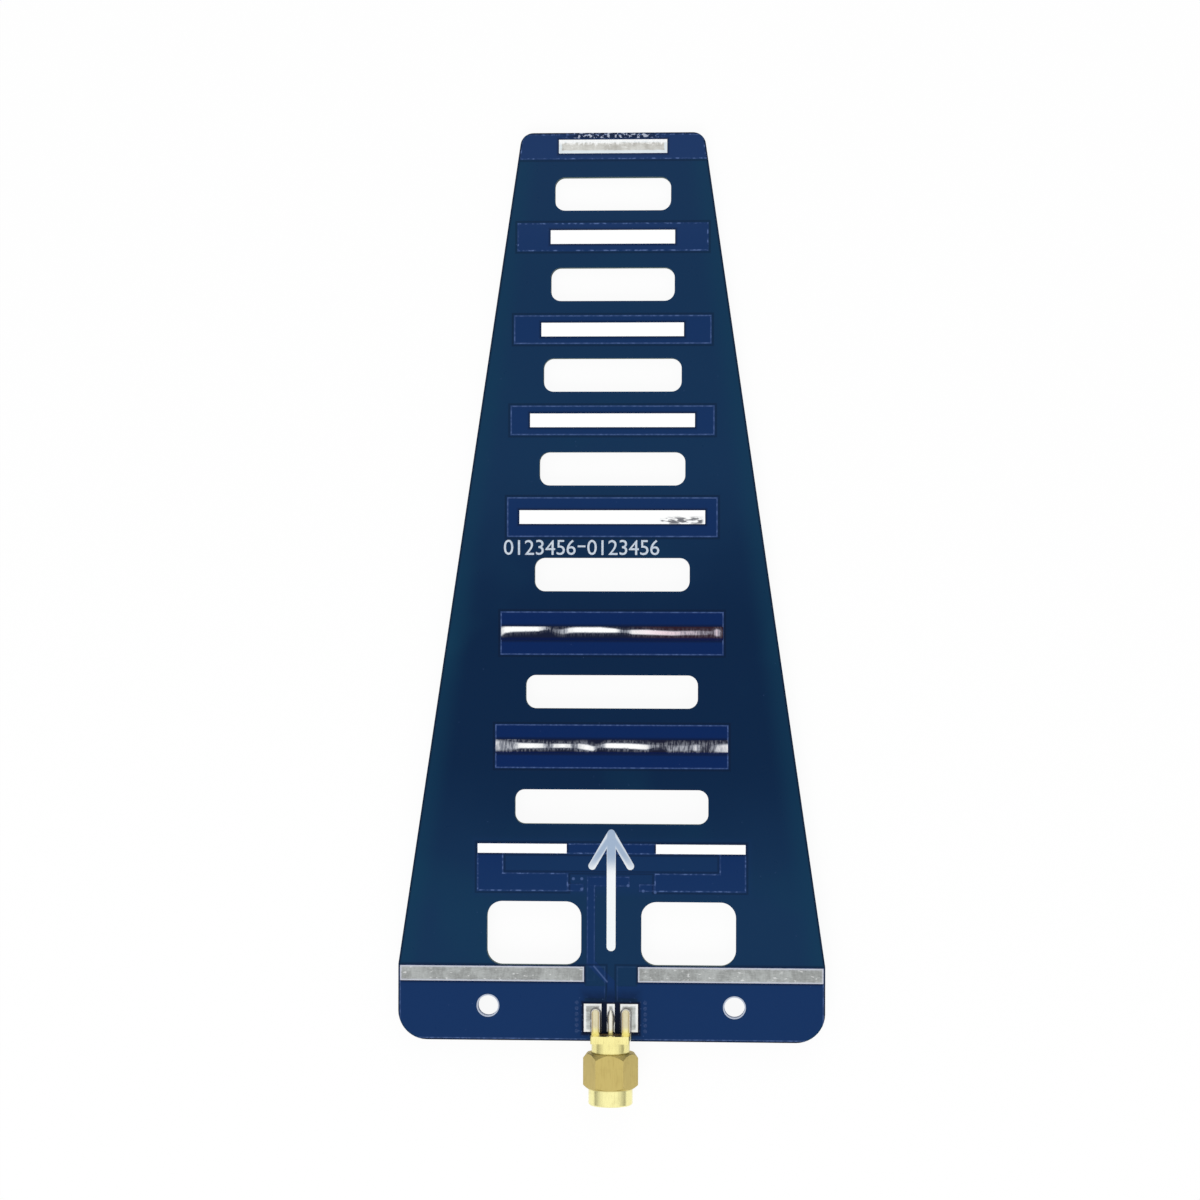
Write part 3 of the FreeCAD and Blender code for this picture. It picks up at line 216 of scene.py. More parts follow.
class Graph:
    """The nodes of one material or world, on Object coordinates in millimetres."""

    def __init__(self, tree):
        self.tree = tree
        tree.nodes.clear()

    def node(self, kind, settings=None, sockets=None):
        """Any node: its settings come first, then the numbers or links of its sockets."""
        made = self.tree.nodes.new("ShaderNode" + kind)
        for key, setting in (settings or {}).items():
            setattr(made, key, setting)
        for key, given in (sockets or {}).items():
            if isinstance(given, Value):
                given = given.socket
            if isinstance(given, bpy.types.NodeSocket):
                self.tree.links.new(given, made.inputs[key])
            elif isinstance(given, tuple) and made.inputs[key].type == "RGBA" and len(given) == 3:
                made.inputs[key].default_value = (*given, 1)
            else:
                made.inputs[key].default_value = given
        return made

    def value(self, node, output=0):
        return Value(self, node.outputs[output])

    def maths(self, operation, *terms):
        return self.value(self.node("Math", {"operation": operation}, dict(enumerate(terms))))

    def least(self, terms):
        return functools.reduce(lambda a, b: self.maths("MINIMUM", a, b), terms)

    def most(self, terms):
        return functools.reduce(lambda a, b: self.maths("MAXIMUM", a, b), terms)

    def step(self, value, low, high):
        """0 below low, 1 above high, smooth between; the other way round if low is above high."""
        sockets = {"Value": value, "From Min": low, "From Max": high}
        return self.value(self.node("MapRange", {"interpolation_type": "SMOOTHSTEP"}, sockets))

    def mix(self, factor, low, high):
        """A colour from low at 0 to high at 1."""
        made = self.node("Mix", {"data_type": "RGBA"}, {0: factor, 6: low, 7: high})
        return made.outputs[2]

    def course(self, value, stops):
        """Three numbers that run from stop to stop: each stop is a place and the numbers there."""
        first, last = stops[0][0], stops[-1][0]
        made = self.node("ValToRGB", None, {0: (value - first) / (last - first)})
        ramp = made.color_ramp
        while len(ramp.elements) < len(stops):
            ramp.elements.new(0.5)
        for element, (place, *numbers) in zip(ramp.elements, stops):
            element.position = (place - first) / (last - first)
            element.color = (*numbers, 1)
        split = self.node("SeparateColor", None, {0: made.outputs[0]})
        return [self.value(split, i) for i in range(3)]

    @functools.cached_property
    def place(self):
        """Where a point is, in millimetres."""
        coordinates = self.node("TexCoord")
        scaled = self.node(
            "VectorMath", {"operation": "SCALE"}, {0: coordinates.outputs["Object"], "Scale": 1 / MM}
        )
        return scaled.outputs[0]

    @functools.cached_property
    def axes(self):
        split = self.node("SeparateXYZ", None, {0: self.place})
        return [self.value(split, i) for i in range(3)]

    def noise(self, size, detail=2.0, stretch=(1, 1, 1), shift=(0, 0, 0), rough=0.5):
        """Soft noise from 0 to 1 with blotches about size millimetres across."""
        scale = tuple(1 / (size * s) for s in stretch)
        mapped = self.node("Mapping", None, {"Vector": self.place, "Location": shift, "Scale": scale})
        sockets = {"Vector": mapped.outputs[0], "Scale": 1.0, "Detail": detail, "Roughness": rough}
        return self.value(self.node("TexNoise", None, sockets))

    def wander(self, along, size, shift, detail):
        """Noise from 0 to 1 that changes only along one coordinate."""
        sockets = {"W": along / size + shift, "Scale": 1.0, "Detail": detail}
        return self.value(self.node("TexNoise", {"noise_dimensions": "1D"}, sockets))

    def specks(self, size, share):
        """1 on small round specks, 0 between them."""
        mapped = self.node("Mapping", None, {"Vector": self.place, "Scale": (1 / size,) * 3})
        cells = self.node("TexVoronoi", None, {"Vector": mapped.outputs[0], "Scale": 1.0})
        return self.step(self.value(cells), share, share * 0.4)

    def rectangle(self, left, right, foot, top):
        """Distance to an upright rectangle, below zero inside it."""
        x, y, _ = self.axes
        across = abs(x - (left + right) / 2) - (right - left) / 2
        along = abs(y - (foot + top) / 2) - (top - foot) / 2
        return self.maths("MAXIMUM", across, along)

    def relief(self, height, depth, normal=None):
        """A bump whose full height is depth millimetres."""
        sockets = {"Height": height, "Distance": depth * MM, "Strength": 1.0}
        if normal is not None:
            sockets["Normal"] = normal
        return self.node("Bump", None, sockets).outputs[0]

    def surface(self, **sockets):
        """The closing Principled shader. Underscores in a name stand for spaces."""
        named = {key.replace("_", " "): given for key, given in sockets.items()}
        shader = self.node("BsdfPrincipled", None, named)
        self.node("OutputMaterial", None, {"Surface": shader.outputs[0]})


def material(name):
    made = bpy.data.materials.new(name)
    made.use_nodes = True
    return made, Graph(made.node_tree)


def finish(made, *names):
    """Gives CAD nodes a material."""
    for name in names:
        NODES[name].data.materials.clear()
        NODES[name].data.materials.append(made)


def rectangle_of(node):
    """Left, right, foot and top of a CAD node, in millimetres."""
    low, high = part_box(node)
    return low.x / MM, high.x / MM, low.y / MM, high.y / MM


def from_hole(graph):
    """Square of the distance to the axis of the nearer mounting hole."""
    x, y, _ = graph.axes
    aside = abs(x) - HOLE_ASIDE
    return aside * aside + y * y


# ---------------------------------------------------------------- settings


class BoardFinish(bpy.types.PropertyGroup):
    """Solder mask, laminate and copper."""

    bare: colour_property("Mask over laminate", "Blue mask where no copper lies below", (12, 46, 80))
    deep: colour_property("Mask over laminate, deep", "Darker places over laminate", (0, 32, 65))
    teal: colour_property("Mask, greener", "Greener places of the mask over laminate", (8, 56, 82))
    copper: colour_property("Mask over copper", "Blue mask where copper lies below", (14, 46, 91))
    copper_deep: colour_property("Mask over copper, deep", "Darker places over copper", (0, 33, 84))
    # Painted highlight on the rims, partly the paler thin mask over a copper edge; the front mask's pale
    # marks take it too
    rim: colour_property("Rim", "Light line where the mask climbs over a copper edge", (84, 108, 158))
    # Painted shade beside the copper edges, along the board's edge, and round the tins, the pads and the plug
    shade: colour_property("Shade", "Dark line beside an edge", (1, 12, 38))
    chipped: colour_property("Broken edge", "Chipped mask where the board was snapped off", (198, 204, 214))
    glass: colour_property("Cut edge", "Cut glass-epoxy under blue mask", (92, 112, 104))
    resin: colour_property("Resin", "Resin between the layers of glass cloth", (44, 70, 76))
    rim_of_hole: colour_property("Hole wall", "Pale wall of a mounting hole", (178, 186, 208))
    foil: colour_property("Foil", "Copper foil", (214, 138, 98))
    rim_width: number_property("Rim width", "Width of a rim line in millimetres", 0.2)


class TinFinish(bpy.types.PropertyGroup):
    """Tinned strips, pads and solder."""

    bright: colour_property("Bright tin", "Levelled tin", (253, 254, 254))
    tip: colour_property("Tip strip", "Frosted tin of the tip strip", (220, 220, 215))
    pad: colour_property("Pads", "Tin of the connector's pads", (214, 220, 219))
    ground: colour_property("Ground strips", "Rough tin of the ground strips", (184, 188, 187))
    # Painted highlight: the pale rims of the ground strips
    lilac: colour_property("Strip rims", "Pale rims of the ground strips", (206, 209, 222))
    # Painted highlight: the bluish rims of the tip strip
    frame: colour_property("Tip strip's rims", "Bluish rims of the tip strip", (232, 242, 248))
    # Painted shade and dark reflection, on a bead's flanks and in the marks on director 3's strip
    dark: colour_property("Dark tin", "Shaded flanks of a bead", (26, 32, 54))
    stain: colour_property("Stain", "Purple-brown stain on a bead", (48, 32, 44))
    # Painted highlight on the stained part of bead 2
    pink: colour_property("Warm tin", "Bright tin beside the stain", (238, 206, 220))
    # Painted reflection of the blue mask on a bead's lowest flank
    flank: colour_property("Flank", "Lowest part of a bead's flank", (14, 28, 72))
    brown: colour_property("Flux", "Brown flux residue", (84, 64, 44))


class PlugFinish(bpy.types.PropertyGroup):
    """The coaxial plug."""

    body: colour_property("Body", "Bright gold plating of the body", (248, 238, 164))
    nut: colour_property("Nut", "Satin gold plating of the coupling nut", (206, 187, 116))
    polished: colour_property("Collar", "Polished gold of the nut's round collar", (250, 243, 176))
    wetted: colour_property("Wetted gold", "Gold of the legs, wetted by solder", (220, 212, 178))
    # Darker gold of marks and dull patches, and the painted shade on the legs' flanks
    marks_and_shade: colour_property("Grooves", "Darker gold in grooves and marks", (136, 104, 40))
    white: colour_property("Insulator", "Fluoroplastic", (240, 240, 234))
    seal: colour_property("Seal", "Silicone rubber", (176, 66, 44))
    spring: colour_property("Spring ring", "Spring bronze", (206, 160, 96))
    thread_pitch: length_property("Thread pitch", "From one turn of the nut's thread to the next", 0.000706)
    thread_depth: length_property("Thread depth", "Height of the nut's thread", 0.00036)
    thread_root: length_property("Thread root", "Radius of the nut's bore, where the thread stands", 0.003175)


class PrintSettings(bpy.types.PropertyGroup):
    """White print: plain numbers beside director 3, and the arrow."""

    numerals: bpy.props.StringProperty(
        name="Numerals", description="Generic plain numbers", default="0123456-0123456"
    )
    left: length_property("Left", "Left end of the numerals", -0.0183)
    right: length_property("Right", "Right end of the numerals", 0.00805)
    foot: length_property("Foot", "Lower edge of the numerals", 0.07575)
    height: length_property("Height", "Height of a numeral", 0.00258)
    level: length_property("Level", "Under side of the ink, on the mask over laminate", 0.001574)
    thickness: length_property("Thickness", "Thickness of the ink", 0.000013)
    ink: colour_property("Ink", "White ink", (238, 242, 244))
    grey: colour_property("Thin ink", "Thin ink in the arrow's head", (156, 175, 199))


class TentSettings(bpy.types.PropertyGroup):
    """Small mask-covered through holes that stitch the two grounds beside the plug."""

    across: length_property("Row", "Row to the board's centre line", 0.00575)
    first: length_property("First", "First hole of a row from the mounting holes' line", -0.0041)
    pitch: length_property("Pitch", "From hole to hole", 0.00095)
    radius: length_property("Radius", "Outside of the raised ring", 0.00034)
    rise: length_property("Rise", "Height of the raised ring", 0.00003)
    count: bpy.props.IntProperty(name="Count", description="Holes in a row", default=6, min=1)


class StageSettings(bpy.types.PropertyGroup):
    """Floor, light and camera."""

    floor: colour_property("Floor", "Plain pale floor", (244, 244, 244))
    half: length_property("Floor reach", "Half of the floor's side", 3.0)
    key: number_property("Key", "Power of the key lamp in watts", 2.4)
    fill: number_property("Fill", "Power of the fill lamp in watts", 0.8)
    sky: number_property("Sky", "Light of the room on matt surfaces", 0.66)
    eye: bpy.props.FloatVectorProperty(
        name="Camera", description="Where the camera stands", unit="LENGTH", default=(0.0254, 0.06656, 0.5)
    )
    turn: bpy.props.FloatVectorProperty(
        name="Camera turn",
        description="Rotation vector of the camera from straight down",
        subtype="EULER",
        default=tuple(math.radians(a) for a in (0.191, 3.147, 0.142)),
    )
    lens: number_property("Lens", "Focal length in millimetres", 89.23)


# ---------------------------------------------------------------- board


def board_edge(graph):
    """Distance inwards from the outer edge of the board."""
    x, y, _ = graph.axes
    half = BASE_HALF - TAPER * graph.maths("MAXIMUM", y - TAPER_START, 0)
    return graph.least([half - abs(x), y - BASE_EDGE, TIP_EDGE - y])


def back_outline(graph):
    """Distance to the outline of the ground copper under the back mask, below zero over copper."""
    left, right, foot, top = rectangle_of("back_ground")
    block = graph.rectangle(left, right, foot, BLOCK_TOP)
    column = graph.rectangle(-COLUMN_HALF, COLUMN_HALF, COLUMN_FOOT, top)
    slot = graph.rectangle(-SLOT_HALF, SLOT_HALF, SLOT_FOOT, top + 1)
    return graph.most([graph.least([block, column]), -slot])


def front_outlines(graph, edge):
    """The same for the large copper patches and for the thin feed under the front mask."""
    y = graph.axes[1]
    patches = [graph.rectangle(*rectangle_of(f"director_{n}")) for n in DIRECTORS[:-1]]
    patches.append(graph.most([MARGIN - edge, rectangle_of("director_7")[2] - y]))
    patches += [graph.rectangle(*rectangle_of(f"front_ground_{side}")) for side in SIDES]
    left, right, foot, top = rectangle_of("driven_element")
    ring = graph.rectangle(left, right, foot, top)
    inner = graph.rectangle(left + ARM_END, right - ARM_END, foot + ARM_BELOW, top - ARM_ABOVE)
    gap = graph.rectangle(-GAP_HALF, GAP_HALF, foot - 1, foot + GAP_HEIGHT)
    patches.append(graph.most([ring, -inner, -gap]))
    feed = [graph.rectangle(*run) for run in FEED_RUNS]
    for start in (TAB_START, -TAB_START - TAB_LENGTH):
        feed.append(graph.rectangle(start, start + TAB_LENGTH, foot, foot + TAB_HEIGHT))
    return graph.least(patches), graph.least(feed)


def front_marks(graph, fine):
    """What only the front mask has: painted shade and other dark places, pale ones with some painted
    highlights, bared ones, and how clear its rims are.
    """
    x, y, _ = graph.axes
    tins = [f"tin_strip_{n}" for n in DIRECTORS]
    tins += [f"{kind}_tin_{side}" for kind in ("driven", "ground") for side in SIDES]
    tinned = graph.least([graph.rectangle(*rectangle_of(name)) for name in tins])
    pads = graph.rectangle(*PADS)
    snapped = graph.step(abs(x), 10, 5) * graph.step(TIP_EDGE - y, 1.2, 0.7)
    # Painted shade round the tinned strips and the pads, the plug's painted shadow beyond the pads, and the
    # dark at the broken edge near the tip
    dark = [
        graph.step(tinned, 0.55, 0.1) * 0.6,
        graph.step(pads, 0.75, 0.15) * 0.95,
        graph.step(graph.rectangle(*PLUG_SHADOW), 2.4, -0.2) * (fine * 0.5 + 0.3),
        snapped * 0.9,
    ]
    # Distances across the edge of the feed's slanting run, and along it from its middle
    over, up = x - SLANT_START[0], y - SLANT_START[1]
    run, fall = SLANT_WAY
    across = abs(over * fall + up * run)
    along = abs(over * run - up * fall - SLANT_HALF)
    hump_highlights = [(x - right) * (x - right) + (y - high) * (y - high) for right, high in HUMP_HIGHLIGHTS]
    # Pale specks round the pads, the painted highlight along the edge of the feed's slanting run, and painted
    # highlights on the humps
    pale = [
        graph.specks(0.55, 0.2) * graph.step(abs(pads - 0.5), 0.8, 0.3) * 0.55,
        graph.step(across, 0.2, 0.05) * graph.step(along, 1.9, 1.7) * 0.5,
        graph.step(graph.least(hump_highlights), 0.1, 0.02) * 0.6,
    ]
    flakes = snapped * graph.step(graph.noise(0.5, 3.0, shift=(5, 0, 0)), 0.5, 0.6) * 0.9
    # The pale ring round a mounting hole, where the film has drawn back from the drilled edge
    ring = graph.step(graph.maths("SQRT", from_hole(graph)), 1.97, 1.87)
    hidden = [graph.step(pads, 1.6, 0.3), graph.step(graph.rectangle(*GROUND_GAP), 0.5, -0.2) * 0.8]
    return dark, pale, graph.most([flakes, ring]), 1.0 - graph.most(hidden)


def mask_ground(graph, shades, front, edge):
    """The mask's plain colour: cloudy, greener towards the edge, another tone over copper."""
    _, y, z = graph.axes
    over_copper = (z > ON_COPPER_FRONT) if front else (z < ON_COPPER_BACK)
    cloud = graph.noise(26, 3.0)
    deeper = graph.step(y + cloud * 14, 22, 48) * graph.step(y + cloud * 20, 102, 72)
    teal = graph.step(edge, 4.5, 0.3) * 0.45 + graph.step(cloud, 0.52, 0.68) * 0.3
    bare = graph.mix(deeper, tuple(shades.bare), tuple(shades.deep))
    bare = graph.mix(teal, bare, tuple(shades.teal))
    if front:
        folded = graph.rectangle(*rectangle_of("driven_element"))
        bare = graph.mix(graph.step(folded, 1.5, -1.0) * 0.55, bare, tuple(shades.copper))
    covered = graph.mix(deeper, tuple(shades.copper), tuple(shades.copper_deep))
    return over_copper, graph.mix(over_copper, bare, covered)


def mask_material(shades, front):
    """Glossy blue mask. Its level tells where it lies on copper; its rims are painted highlights, partly the
    paler thin mask there, with painted shade beside them.
    """
    made, graph = material("solder_mask_front" if front else "solder_mask_back")
    y = graph.axes[1]
    fine = graph.noise(1.1, 3.0)
    edge = board_edge(graph)
    over_copper, colour = mask_ground(graph, shades, front, edge)
    if front:
        outline, feed = front_outlines(graph, edge)
        rim_highlights = [(outline, 1.0), (feed, 0.4)]
        dark, pale, bared, clear = front_marks(graph, fine)
    else:
        outline = back_outline(graph)
        rim_highlights = [(outline, 1.0)]
        dark, pale, bared, clear = [], [], None, 1.0
    width = shades.rim_width
    # Painted shade: a dark line just outside each copper outline, and along the board's edge
    dark.append(graph.step(abs(outline - width * 1.2), width * 1.3, 0) * 0.45)
    dark.append(graph.step(edge, 0.5, 0.12) * 0.75)
    colour = graph.mix(graph.most(dark), colour, tuple(shades.shade))
    # The rims' painted highlights are broken lines, and rows of dots at the driven element and towards the
    # tip
    dotted = graph.step(y, 36, 33) * graph.step(y, 14, 17) * 0.7
    dotted = graph.most([graph.step(y, 112, 124), dotted])
    patchy = graph.noise(0.8, 2.0, shift=(1, 7, 3))
    broken = graph.step(patchy, 0.4, 0.66) * 0.45 + 0.28 * (1.0 - dotted)
    broken = broken + dotted * graph.step(patchy, 0.52, 0.62) * 0.5
    for distance, strength in rim_highlights:
        rim = graph.step(abs(distance + width * 0.6), width * 0.8, width * 0.1)
        colour = graph.mix(rim * broken * strength * clear, colour, tuple(shades.rim))
    worn = graph.step(edge + fine * 0.5, 0.3, 0.18) * 0.22
    pale += [worn, graph.specks(2.3, 0.04) * 0.3, graph.step(y, 118, 142) * (over_copper * 0.05 + 0.02)]
    if front:
        pale.append(bared)
    colour = graph.mix(graph.most(pale), colour, tuple(shades.rim))
    if front:
        colour = graph.mix(graph.step(bared, 0.3, 0.9) * 0.7, colour, tuple(shades.chipped))
    slope = graph.step(outline, 0.12, -0.12)
    normal = graph.relief(slope, 0.03, graph.relief(fine, 0.0022, graph.relief(graph.noise(3.2), 0.008)))
    graph.surface(
        Base_Color=colour,
        Roughness=0.24 + fine * 0.12 + worn * 0.3,
        Specular_IOR_Level=0.08,
        Normal=normal,
    )
    return made


def laminate_material(shades):
    """Cut glass-epoxy: layers of cloth in resin, with stubble of broken fibre."""
    made, graph = material("glass_epoxy")
    layers_per_mm = 7 / 1.5
    turns = graph.axes[2] * (2 * math.pi * layers_per_mm) + graph.noise(2.2) * 2.5
    layers = graph.maths("SINE", turns) * 0.5 + 0.5
    stubble = graph.noise(0.16, 4.0, stretch=(1, 1, 0.5))
    colour = graph.mix(layers * 0.6 + stubble * 0.4, tuple(shades.resin), tuple(shades.glass))
    colour = graph.mix(graph.step(graph.noise(5.0), 0.55, 0.8) * 0.35, colour, tuple(shades.teal))
    colour = graph.mix(graph.step(from_hole(graph), 3.1, 2.95) * 0.85, colour, tuple(shades.rim_of_hole))
    normal = graph.relief(layers, 0.02, graph.relief(stubble, 0.02))
    graph.surface(Base_Color=colour, Roughness=0.62 + stubble * 0.25, Specular_IOR_Level=0.35, Normal=normal)
    return made


def foil_material(shades):
    """Rolled copper with a fine grain and a few brown marks."""
    made, graph = material("copper_foil")
    grain = graph.noise(0.3, 3.0, stretch=(6, 1, 1))
    stain = graph.step(graph.noise(4.0), 0.5, 0.75)
    colour = graph.mix(stain * 0.5, tuple(shades.foil), srgb(140, 82, 56))
    graph.surface(
        Base_Color=colour, Metallic=1.0, Roughness=0.28 + grain * 0.2, Normal=graph.relief(grain, 0.003)
    )
    return made


class ANTENNA_OT_board(bpy.types.Operator):
    """Give the laminate, both masks and all copper their materials"""

    bl_idname = "antenna.board"
    bl_label = "Board"

    def execute(self, context):
        shades = context.scene.antenna_board
        finish(mask_material(shades, True), "solder_mask_front")
        finish(mask_material(shades, False), "solder_mask_back")
        finish(laminate_material(shades), "laminate")
        foils = [f"director_{n}" for n in DIRECTORS] + [f"front_ground_{side}" for side in SIDES]
        foils += ["driven_element", "feed_line", "back_ground", "ground_vias", "balun_vias"]
        finish(foil_material(shades), *foils)
        return {"FINISHED"}


# ---------------------------------------------------------------- tin and solder


def levelled_material(shades):
    """Bright levelled tin: long soft ripples, and a painted dark reflection in a few marks towards one end.
    """
    made, graph = material("levelled_tin")
    ripple = graph.noise(1.6, 2.0, stretch=(3, 1, 1))
    # Painted dark reflection in a few marks on director 3's strip
    marks = graph.step(graph.noise(0.5, 3.0, stretch=(3, 0.8, 1)), 0.44, 0.58)
    marks = marks * graph.step(graph.rectangle(*STRIP_REFLECTION), 0.3, -0.3)
    colour = graph.mix(marks * 0.85, tuple(shades.bright), tuple(shades.dark))
    graph.surface(
        Base_Color=colour, Metallic=1.0, Roughness=0.22 + ripple * 0.12, Normal=graph.relief(ripple, 0.012)
    )
    return made


def bead_material(shades, number):
    """Hand-tinned bead: painted highlights in soft streaks along it, fine hairs across them, and painted
    shade and dark reflections on its flanks.
    """
    made, graph = material(f"tin_bead_{number}")
    foot, top = rectangle_of(f"tin_strip_{number}")[2:]
    x, y, _ = graph.axes
    hair = graph.noise(0.26, 3.0, stretch=(1, 5, 1), shift=(3 * number, 0, 0), rough=0.6)
    up = (y - (foot + top) / 2) / ((top - foot) / 2)
    sharp = graph.step(hair, 0.42, 0.58)
    # A ramp holds 0 to 1 only, so heights from -1 to 1 and half widths up to 2 are squeezed into it
    stops = [(at, height * 0.5 + 0.5, half / 2, bright) for at, height, half, bright in HIGHLIGHT_STREAKS[number]]
    middle, width, bright = graph.course(x, stops)
    across = abs(up - (middle * 2.0 - 1.0)) / (width * 2.0)
    highlight_core = graph.step(across + (hair - 0.5) * 0.8, 1.5, 0.45) * bright
    highlight_halo = graph.step(across + (hair - 0.5) * 0.6, 2.8, 1.0) * (0.5 if number == 1 else 0.3)
    highlight_core = highlight_core - highlight_core * (1.0 - highlight_core) * (1.0 - sharp) * 1.3
    light = graph.maths("POWER", graph.most([highlight_core, highlight_halo * (sharp * 0.7 + 0.3)]), 2.2)
    stain = graph.step(x, 1.0, 9.0) * (1.0 if number == 2 else 0.1)
    # From painted shade and dark reflection up to the painted highlight, with a bluish painted reflection
    # between
    low = graph.mix(stain, tuple(shades.dark), tuple(shades.stain))
    high = graph.mix(stain * 0.7, tuple(shades.bright), tuple(shades.pink))
    cool_reflection = graph.mix(graph.step(light, 0.9, 0.25) * 0.6, high, srgb(206, 216, 236))
    colour = graph.mix(light, low, cool_reflection)
    # Painted reflection of the blue mask on the bead's lowest flank
    lowest_reflection = graph.step(y, foot + (0.62 if number == 2 else 0.3), foot + 0.2)
    colour = graph.mix(lowest_reflection * 0.9, colour, tuple(shades.flank))
    normal = graph.relief(hair, 0.02, graph.relief(light, 0.02))
    graph.surface(Base_Color=colour, Metallic=1.0, Roughness=0.42 - light * 0.2, Normal=normal)
    return made


def frosted_material(shades, name, low, high, grain, strips, rim_highlights, reach, crest_highlight):
    """Rough grey tin: crossing scratches, painted glints in white specks, painted highlights on paler rims of
    the named strips and in a bright crest.
    """
    made, graph = material(name)
    scratch = graph.noise(grain, 4.0, stretch=(2.4, 0.6, 1), rough=0.7)
    cross = graph.noise(grain * 1.6, 3.0, stretch=(0.6, 2.0, 1), shift=(4, 1, 0))
    blot = graph.step(graph.noise(2.6, 3.0), 0.4, 0.66)
    light = graph.maths("MINIMUM", scratch * 0.7 + cross * 0.4 + blot * 0.2 - 0.12, 1.0)
    colour = graph.mix(graph.step(light, 0.15, 0.8), low, high)
    # Painted glints in white specks
    glint_spots = graph.step(graph.noise(0.5, 3.0, stretch=(1.8, 0.8, 1), shift=(2, 2, 0)), 0.62, 0.72)
    colour = graph.mix(glint_spots * 0.5, colour, tuple(shades.bright))
    inside = graph.least([graph.rectangle(*rectangle_of(strip)) for strip in strips])
    # Painted highlight on the rims of the named strips
    rim = graph.step(inside + scratch * 0.3, -0.2 - reach, 0.05 - reach)
    colour = graph.mix(rim * 0.8, colour, rim_highlights)
    # Painted highlight in a ragged crest along the top of the first strip
    if crest_highlight:
        top = rectangle_of(strips[0])[3]
        ragged = graph.axes[1] + (scratch - 0.5) * 1.2 + (cross - 0.5) * 1.6
        crown_highlight = graph.step(ragged, top - crest_highlight, top - crest_highlight * 0.3)
        colour = graph.mix(crown_highlight * 0.9, colour, tuple(shades.bright))
    normal = graph.relief(scratch + cross, 0.02)
    graph.surface(Base_Color=colour, Metallic=0.85, Roughness=0.4 + scratch * 0.2, Normal=normal)
    return made


def solder_material(shades, name, flux):
    """Bright solder. Its steep sides carry as much brown flux as asked."""
    made, graph = material(name)
    facing = graph.node("NewGeometry")
    upright = graph.value(graph.node("SeparateXYZ", None, {0: facing.outputs["Normal"]}), 2)
    lump = graph.noise(0.7, 2.0)
    steep = graph.step(abs(upright), 0.86, 0.3) * graph.step(lump, 0.2, 0.5) * flux
    colour = graph.mix(steep, tuple(shades.bright), tuple(shades.brown))
    normal = graph.relief(lump, 0.03)
    graph.surface(Base_Color=colour, Metallic=0.9, Roughness=0.2 + lump * 0.2, Normal=normal)
    return made


class ANTENNA_OT_tin(bpy.types.Operator):
    """Give the tinned strips, the pads and the solder their materials"""

    bl_idname = "antenna.tin"
    bl_label = "Tin and solder"

    def execute(self, context):
        shades = context.scene.antenna_tin
        levelled = levelled_material(shades)
        finish(levelled, *[f"tin_strip_{n}" for n in (3, 4, 5, 6)], *[f"driven_tin_{s}" for s in SIDES])
        for number in (1, 2):
            finish(bead_material(shades, number), f"tin_strip_{number}")
        grounds = [f"ground_tin_{s}" for s in SIDES]
        pads = ["centre_pad_tin"] + [f"{face}_pad_tin_{s}" for face in ("front", "back") for s in SIDES]
        for name, pieces, low, high, grain, rim_highlights, reach, crest_highlight in (
            ("tip_tin", ["tin_strip_7"], srgb(176, 174, 168), shades.tip, 0.42, shades.frame, 0.28, 0.9),
            ("ground_tin", grounds, srgb(136, 138, 137), shades.ground, 0.3, shades.lilac, 0.0, 0.0),
            ("pad_tin", pads, srgb(132, 130, 124), shades.pad, 0.6, shades.bright, 0.16, 0.0),
        ):
            made = frosted_material(
                shades, name, low, tuple(high), grain, pieces[:3], tuple(rim_highlights), reach, crest_highlight
            )
            finish(made, *pieces)
        finish(solder_material(shades, "pin_solder", 0.25), "solder_pin")
        solder = solder_material(shades, "leg_solder", 1.0)
        finish(solder, *[f"solder_{face}_{s}" for face in ("front", "back") for s in SIDES])
        return {"FINISHED"}


# ---------------------------------------------------------------- plug


def gold_material(shades, name, base, rough, other=None, turn=(0, 1), mottle=0.12, gloss=0.0):
    """Turned and plated brass: fine rings of the tool, marks, and another tone along its axis."""
    made, graph = material(name)
    x, y, _ = graph.axes
    rings = graph.wander(y, 0.045, 2.0, 3.0)
    patch = graph.noise(1.6, 3.0)
    marks = graph.step(graph.noise(0.5, 3.0, stretch=(1, 3, 1)), 0.62, 0.78)
    if name == "gold_bright":
        # Painted shade on the flanks of the legs
        flank = graph.step(abs(abs(x) - LEG_ASIDE), 0.25, 0.6) * graph.step(y, -4.7, -4.0)
        base = graph.mix(flank * 0.7, base, tuple(shades.marks_and_shade))
        other = graph.mix(flank * 0.55, other, tuple(shades.marks_and_shade))
    if other is not None:
        turned = graph.step(y, *turn)
        base = graph.mix(turned, base, other)
        rough = rough - turned * gloss
    streak = graph.noise(0.32, 3.0, stretch=(0.7, 8, 0.7), shift=(1, 0, 2))
    dull = graph.step(patch, 0.5, 0.8) * mottle + graph.step(streak, 0.48, 0.72) * mottle
    colour = graph.mix(marks * 0.16 + dull, base, tuple(shades.marks_and_shade))
    normal = graph.relief(rings, 0.0035, graph.relief(patch, 0.01))
    graph.surface(Base_Color=colour, Metallic=1.0, Roughness=rough + rings * 0.12, Normal=normal)
    return made


def plain_material(name, base, shade, rough, flux=None):
    """Moulded plastic or rubber: cloudy colour, fine skin, and brown flux past a place on the axis."""
    made, graph = material(name)
    cloud, skin = graph.noise(1.4, 2.0), graph.noise(0.12, 2.0)
    colour = graph.mix(graph.step(cloud, 0.4, 0.8) * 0.5, base, shade)
    if flux:
        colour = graph.mix(graph.step(graph.axes[1], *flux), colour, srgb(92, 74, 44))
    graph.surface(Base_Color=colour, Roughness=rough + skin * 0.15, Normal=graph.relief(skin, 0.004))
    return made


